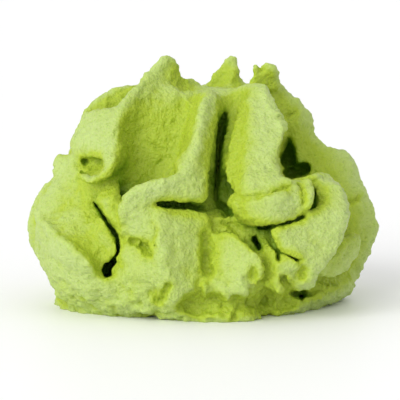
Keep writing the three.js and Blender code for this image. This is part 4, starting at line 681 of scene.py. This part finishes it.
STROKES = [
    # slope into the front gap
    ([(3, 18.5), (2.8, 16.6), (2.8, 14.8), (2.5, 13), (2.3, 11.1)], 1.7, 0.7, 0, 0),
    # between lobe and ear
    ([(8.7, 10.6), (9, 10.1), (9.1, 9.4), (9.1, 8.8)], 0.4, 0.8, 0.8, 0),
    # notch between the peaks
    ([(5.3, 21.8), (5.3, 21.3)], 0.5, 0.6, 0.5, 0),
    # right of the small nose
    ([(9, 3.5), (9.1, 2.8), (8.9, 2.1)], 0.5, 0.4, 0.5, 0),
    # right edge of the bump
    ([(2, 6.8), (2.7, 6.4), (3.3, 5.6), (4.2, 4.9), (4.6, 4.6), (5, 4.1), (5.4, 3.5), (5.5, 2.8),
      (5.3, 2.1)], 0.8, 0.1, 0.5, -0.5),
    # left of the bump
    ([(0.3, 5.9), (0.3, 4.6), (0.2, 3.9), (0.1, 3.2), (0.4, 2.6)], 0.6, 1, 0.6, 0),
    # left of the lower rib
    ([(-4.8, 7.2), (-4.5, 6.7), (-4.6, 5.9), (-4.7, 5.5), (-4.5, 4.8)], 0.4, 0.5, 0.6, 0),
    # small cavities beside the lower rib
    ([(-6.7, 5.3), (-6.2, 5.3)], 0.45, 1.2, 0.6, 0),
    ([(-6, 5.2), (-5.4, 4.8)], 0.5, 1.4, 0.6, 0),
    ([(-5.4, 4.6), (-5, 4.4)], 0.45, 1.1, 0.6, 0),
    # groove beside the lower rib
    ([(-3.3, 1.2), (-3.8, 0.5), (-4.1, -0.2)], 0.5, 0.85, 0.5, 0),
    # crease in the hollow face
    ([(-5.1, 14.5), (-4.2, 14), (-3.4, 13.2)], 0.35, 0.25, 0.8, 0),
    # crease across the rolled lobe
    ([(3.1, 9.3), (3.9, 9.5), (4.6, 9.6), (5.3, 9.8), (6.1, 10), (6.9, 10.2),
      (7.7, 10.4)], 0.5, 0.65, 0.7, 0),
    # crease left on the petal
    ([(2, 14), (2.8, 14.1), (3.8, 14.2), (4.4, 14.6)], 0.7, 0.4, 0.5, 0),
    # crease on the right rib
    ([(7, 16.9), (7.7, 17), (8.2, 17.3)], 0.5, 0.5, 0.6, 0),
    # notch in the right flank
    ([(13.3, 9), (14.2, 9.3), (15.4, 9.3)], 0.5, 0.4, 0.5, 0),
    # right edge of the petal
    ([(5.8, 19.2), (6, 18.2), (6.5, 17.6), (7, 17.2), (7.2, 16.6), (7.4, 15.8), (7.5, 15.1),
      (7.4, 14.4), (7.2, 14), (6.9, 13.4)], 0.7, 0, 0.5, -0.35),
    # hollow face
    ([(-6.8, 15.3), (-5.9, 13), (-5, 11.8)], 2.5, 0.5, 0, 0),
    # dimple in the bump
    ([(4.6, 2.5), (4.6, 2.1)], 0.6, 0.7, 0.3, 0),
    # notch in the foot
    ([(3, -0.1), (3, -1.6)], 0.6, 0.8, 0.5, 0),
    # nick beside the crease
    ([(-7.9, 5.5), (-7.2, 5.9)], 0.4, 0.4, 0.5, 0),
    # left edge of the lip
    ([(-7.1, 10.5), (-7.6, 9.8), (-7.9, 9), (-7.9, 8.2)], 0.7, 0, 0.5, 0.35),
    # crest of the left lobe
    ([(-15.3, 7.5), (-14.2, 6.6), (-13.1, 5.5), (-11.9, 4.6), (-10.7, 3.5),
      (-10, 2.6)], 0.7, -0.2, 0.4, 0),
    # wrinkle at the top
    ([(-1.6, 20.3), (-1.4, 19.4), (-1.6, 18.5), (-1.3, 17.9)], 0.4, -0.25, 0.3, 0),
    # rim of the hook
    ([(-12.1, 12.4), (-11.4, 11.6), (-10.5, 11.1), (-9.6, 11.2), (-8.8, 11.8),
      (-8.3, 12.8)], 0.9, -0.45, 0.2, 0),
    # ripples in the foot
    ([(-0.6, 1.6), (-0.4, 0.7), (-0.7, -0.4)], 0.5, 0.35, 0.3, 0),
    ([(0.8, 1.2), (0.7, 0.3), (0.9, -0.8)], 0.4, 0.4, 0.3, 0),
    ([(4, 1.8), (4.3, 0.9), (4.2, -0.2)], 0.5, 0.45, 0.3, 0),
    ([(5.5, 1.2), (5.9, 0.4), (5.7, -0.6)], 0.5, 0.4, 0.3, 0),
    # swells between the ripples
    ([(0, 1.1), (0.2, 0.1)], 0.6, -0.4, 0.2, 0),
    ([(1.9, 0.9), (2.2, -0.1)], 0.7, -0.45, 0.2, 0),
    ([(4.9, 1.1), (5.1, 0.1)], 0.6, -0.4, 0.2, 0),
    ([(6.8, 0.9), (6.8, -0.1)], 0.6, -0.4, 0.2, 0),
    # hollow of the front foot
    ([(-1.7, -0.4), (-0.4, -0.5), (0.9, -0.3), (2.4, -0.6), (4.2, -0.4), (6.1, -0.3),
      (7.8, -0.1)], 1.3, 1, 0, 0),
    # crumbs over the bump
    ([(1.2, 7.5), (1.7, 7.3), (2.3, 7.5)], 0.4, -0.4, 0.3, 0),
]

tree = seen_tree(dollop)
points = points_of(dollop)
for line, reach, depth, sharp, step in STROKES:
    press(points, tree, line, reach, depth, sharp, step)
move_points(dollop, points)

# ---------------------------------------------------------------------------------------------
# Grain: grated root is never smooth. The paste is finely pebbled all over, and crumbly at its
# base and in the hollows, where it tore.
# ---------------------------------------------------------------------------------------------

GRAIN_CELL = 0.15
MOST_TRIANGLES = 190000
# (name, width of a pebble, how far it stands out, the weights it follows)
PEBBLES = [
    ("wobble", 3.0, 0.5, ""),
    ("lumps", 1.1, 0.25, ""),
    ("crumbs", 0.7, 0.6, "torn"),
    ("grain", 0.45, 0.3, ""),
]
TORN_BELOW = 4.5
TORN_FADE = 3
TORN_IN_HOLLOWS = 0.8
WEIGHT_LEVELS = 20
HOLLOW_STEPS = 70
HOLLOW_EVENING = 0.5
HOLLOW_DEPTH = 0.5
SHELTER_RAYS = 20
SHELTER_START = 0.15
SHELTER_REACH = 9.0
SHELTER_EVERY = 5
SHELTER_EVENINGS = 9
SHELTER_EVENING = 0.6
GOLDEN_TURN = 2.4


def pebbles(paste, name, size, strength, group):
    """Pushes the skin in and out by cloudy noise. Size is the width of a pebble."""
    cloud = bpy.data.textures.new(name, "CLOUDS")
    cloud.noise_scale = size * MM
    cloud.noise_depth = 1
    bumps = paste.modifiers.new(name, "DISPLACE")
    bumps.texture = cloud
    bumps.texture_coords = "LOCAL"
    bumps.strength = strength * MM
    bumps.mid_level = 0.5
    bumps.vertex_group = group
    bpy.context.view_layer.objects.active = paste
    bpy.ops.object.modifier_apply(modifier=name)


def hollowness(paste):
    """Nought on crests and level faces, up to one in creases and pits, and the points as well."""
    points, edges = points_of(paste), edges_of(paste)
    even = points.copy()
    for _ in range(HOLLOW_STEPS):
        even += HOLLOW_EVENING * pulls(even, edges)
    rise = ((even - points) * normals_of(paste)).sum(1)
    return np.clip(rise / HOLLOW_DEPTH, 0, 1), points


def outlook():
    """Ways out from a point whose skin faces up, spread evenly and densest overhead."""
    turns = np.arange(SHELTER_RAYS) + 0.5
    rise = np.sqrt(1 - turns / SHELTER_RAYS)
    flat = np.sqrt(1 - rise**2)
    turns = turns * GOLDEN_TURN
    return [Vector(way) for way in zip(flat * np.cos(turns), flat * np.sin(turns), rise)]


def shelter(paste, points):
    """For every point, the share of its outlook that the paste itself hides. It is found on some
    of the points, taken over by the points nearest to them and evened out."""
    tree, edges, normals, ways = seen_tree(paste), edges_of(paste), normals_of(paste), outlook()
    known = np.arange(0, len(points), SHELTER_EVERY)
    shares = np.zeros(len(known))
    nearby = KDTree(len(known))
    for slot, spot in enumerate(known):
        normal = Vector(normals[spot])
        start = (Vector(points[spot]) + normal * SHELTER_START) * MM
        turn = normal.to_track_quat("Z", "Y")
        hits = [tree.ray_cast(start, turn @ way, SHELTER_REACH * MM)[0] for way in ways]
        shares[slot] = sum(hit is not None for hit in hits) / SHELTER_RAYS
        nearby.insert(Vector(points[spot]), slot)
    nearby.balance()
    share = np.array([shares[nearby.find(Vector(point))[1]] for point in points])
    for _ in range(SHELTER_EVENINGS):
        share = share + SHELTER_EVENING * pulls(np.repeat(share[:, None], 3, 1), edges)[:, 0]
    return share


def weigh(paste, name, weights):
    """Gives the paste a group of weights between nought and one."""
    group = paste.vertex_groups.new(name=name)
    levels = np.rint(np.clip(weights, 0, 1) * WEIGHT_LEVELS).astype(int)
    for level in range(1, WEIGHT_LEVELS + 1):
        chosen = np.nonzero(levels == level)[0].tolist()
        group.add(chosen, level / WEIGHT_LEVELS, "REPLACE")


reskin(dollop, GRAIN_CELL)
hollow, points = hollowness(dollop)
low = np.clip((TORN_BELOW - points[:, 2]) / TORN_FADE, 0, 1)
weigh(dollop, "torn", np.maximum(TORN_IN_HOLLOWS * hollow, low))
for name, size, strength, group in PEBBLES:
    pebbles(dollop, name, size, strength, group)
thin_out = dollop.modifiers.new("thin_out", "DECIMATE")
thin_out.ratio = min(1, MOST_TRIANGLES / (2 * len(dollop.data.polygons)))
bpy.ops.object.modifier_apply(modifier="thin_out")

hollow, points = hollowness(dollop)
sheltered = shelter(dollop, points)
points[:, 2] = np.maximum(points[:, 2], 0)
points += np.array(CENTRING)
move_points(dollop, points)
for name, values in (("hollow", hollow), ("shelter", sheltered)):
    shade = dollop.data.attributes.new(name, "FLOAT", "POINT")
    shade.data.foreach_set("value", values.astype(np.float32))
bpy.ops.object.select_all(action="DESELECT")
dollop.select_set(True)
bpy.context.view_layer.objects.active = dollop
bpy.ops.object.shade_smooth()
dollop.name = "wasabi_paste_detailed"

# ---------------------------------------------------------------------------------------------
# The paste's finish: moist, pale green and a little translucent, with a soft sheen, and flecked by
# bits of the root. Painted shade: the green turns a deeper, yellower green in hollows and sheltered
# places, and is painted dark where the folds shut the light out.
# ---------------------------------------------------------------------------------------------

CREST_GREEN = (0.39, 0.495, 0.125, 1)
PALE_GREEN = (0.45, 0.56, 0.2, 1)
# painted shade: the deeper, yellower green that hollows and sheltered places turn to
HOLLOW_SHADE_GREEN = (0.37, 0.475, 0.03, 1)
# painted shade: the dark green painted into the most sheltered clefts
PAINTED_SHADE_GREEN = (0.06, 0.2, 0.0, 1)
FLECK_GREEN = (0.24, 0.38, 0.02, 1)
HOLLOW_SHADE_TINT = 1.2
SHELTER_SHADE_TINT = 4.5
CLOUDS_PER_METRE = 250.0
CLOUD_GAIN = 1.6
CLOUD_START = 0.3
FLECKS_PER_METRE = 4000.0
FLECK_GAIN = -2.4
FLECK_START = 1.1
DARK_GAIN = 2.4
DARK_START = 1.45

paste_material = bpy.data.materials.new("wasabi_paste")
paste_material.use_nodes = True
surface = paste_material.node_tree.nodes["Principled BSDF"]
surface.inputs["Roughness"].default_value = 0.5
surface.inputs["Specular IOR Level"].default_value = 0.3
surface.inputs["Subsurface Weight"].default_value = 0.3
surface.inputs["Subsurface Radius"].default_value = (0.6, 0.8, 0.2)
surface.inputs["Subsurface Scale"].default_value = 0.0006


class Wire:
    """A socket that can be reckoned with: +, - and * on values add Math nodes, on either side."""

    tree = paste_material.node_tree

    def __init__(self, socket):
        self.socket = socket

    @classmethod
    def node(cls, kind, settings=None, output=0, **sockets):
        made = cls.tree.nodes.new(kind)
        for setting, value in (settings or {}).items():
            setattr(made, setting, value)
        for name, value in sockets.items():
            socket = made.inputs[int(name[1:]) if name[1:].isdigit() else name]
            if isinstance(value, cls):
                cls.tree.links.new(value.socket, socket)
            else:
                socket.default_value = value
        return cls(made.outputs[output])

    def reckon(self, operation, a, b):
        return Wire.node("ShaderNodeMath", {"operation": operation}, _0=a, _1=b)

    def __add__(self, other):
        return self.reckon("ADD", self, other)

    def __sub__(self, other):
        return self.reckon("SUBTRACT", self, other)

    def __rsub__(self, other):
        return self.reckon("SUBTRACT", other, self)

    def __mul__(self, other):
        return self.reckon("MULTIPLY", self, other)

    __radd__ = __add__
    __rmul__ = __mul__


def blended(share, first, second):
    """A colour between two colours."""
    kind = {"data_type": "RGBA", "clamp_factor": True}
    return Wire.node("ShaderNodeMix", kind, output=2, _0=share, _6=first, _7=second)


place = Wire.node("ShaderNodeTexCoord", output=3)
hollow_share = Wire.node("ShaderNodeAttribute", {"attribute_name": "hollow"}, output=2)
shelter_share = Wire.node("ShaderNodeAttribute", {"attribute_name": "shelter"}, output=2)
clouds = Wire.node("ShaderNodeTexNoise", Vector=place, Scale=CLOUDS_PER_METRE, Detail=3.0)
flecks = Wire.node("ShaderNodeTexNoise", Vector=place, Scale=FLECKS_PER_METRE, Detail=2.0)
# painted shade: hollows and places hidden by the paste shift towards a deeper green with less blue
hollow_shade_tint = hollow_share * HOLLOW_SHADE_TINT + shelter_share * SHELTER_SHADE_TINT
green = blended(clouds * CLOUD_GAIN - CLOUD_START, CREST_GREEN, PALE_GREEN)
green = blended(hollow_shade_tint, green, HOLLOW_SHADE_GREEN)
green = blended(flecks * FLECK_GAIN + FLECK_START, green, FLECK_GREEN)
# painted shade: where the paste hides most of its outlook the green is darkened
green = blended(shelter_share * DARK_GAIN - DARK_START, green, PAINTED_SHADE_GREEN)
Wire.tree.links.new(green.socket, surface.inputs["Base Color"])
relief = Wire.node("ShaderNodeBump", Strength=0.9, Distance=0.0002, Height=flecks)
Wire.tree.links.new(relief.socket, surface.inputs["Normal"])
dollop.data.materials.clear()
dollop.data.materials.append(paste_material)
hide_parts("wasabi_paste")
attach(dollop, "root")

# ---------------------------------------------------------------------------------------------
# Floor and light: a plain pale table, an evenly bright room, and a wide, soft light that comes
# from the upper left in front of the dollop.
# ---------------------------------------------------------------------------------------------

TABLE_WHITE = (0.95, 0.95, 0.95, 1)
TABLE_WIDTH = 2
ROOM_WHITE = (1, 1, 1, 1)
ROOM_BRIGHTNESS = 0.8
SUN_BRIGHTNESS = 2.2
SUN_WIDTH = math.radians(45)
TOWARDS_SUN = Vector((-0.62, -0.75, 0.5))

bpy.ops.mesh.primitive_plane_add(size=TABLE_WIDTH)
floor = bpy.context.object
floor.name = "floor"
floor_material = bpy.data.materials.new("pale_table")
floor_material.use_nodes = True
table_top = floor_material.node_tree.nodes["Principled BSDF"]
table_top.inputs["Base Color"].default_value = TABLE_WHITE
floor.data.materials.append(floor_material)

room = bpy.data.worlds.new("room")
bpy.context.scene.world = room
room.use_nodes = True
room_light = room.node_tree.nodes["Background"]
room_light.inputs["Color"].default_value = ROOM_WHITE
room_light.inputs["Strength"].default_value = ROOM_BRIGHTNESS

sun_data = bpy.data.lights.new("key_light", "SUN")
sun_data.energy = SUN_BRIGHTNESS
sun_data.angle = SUN_WIDTH
sun = bpy.data.objects.new("key_light", sun_data)
bpy.context.scene.collection.objects.link(sun)
sun.rotation_euler = TOWARDS_SUN.to_track_quat("Z", "Y").to_euler()
bpy.context.scene.view_settings.view_transform = "Standard"
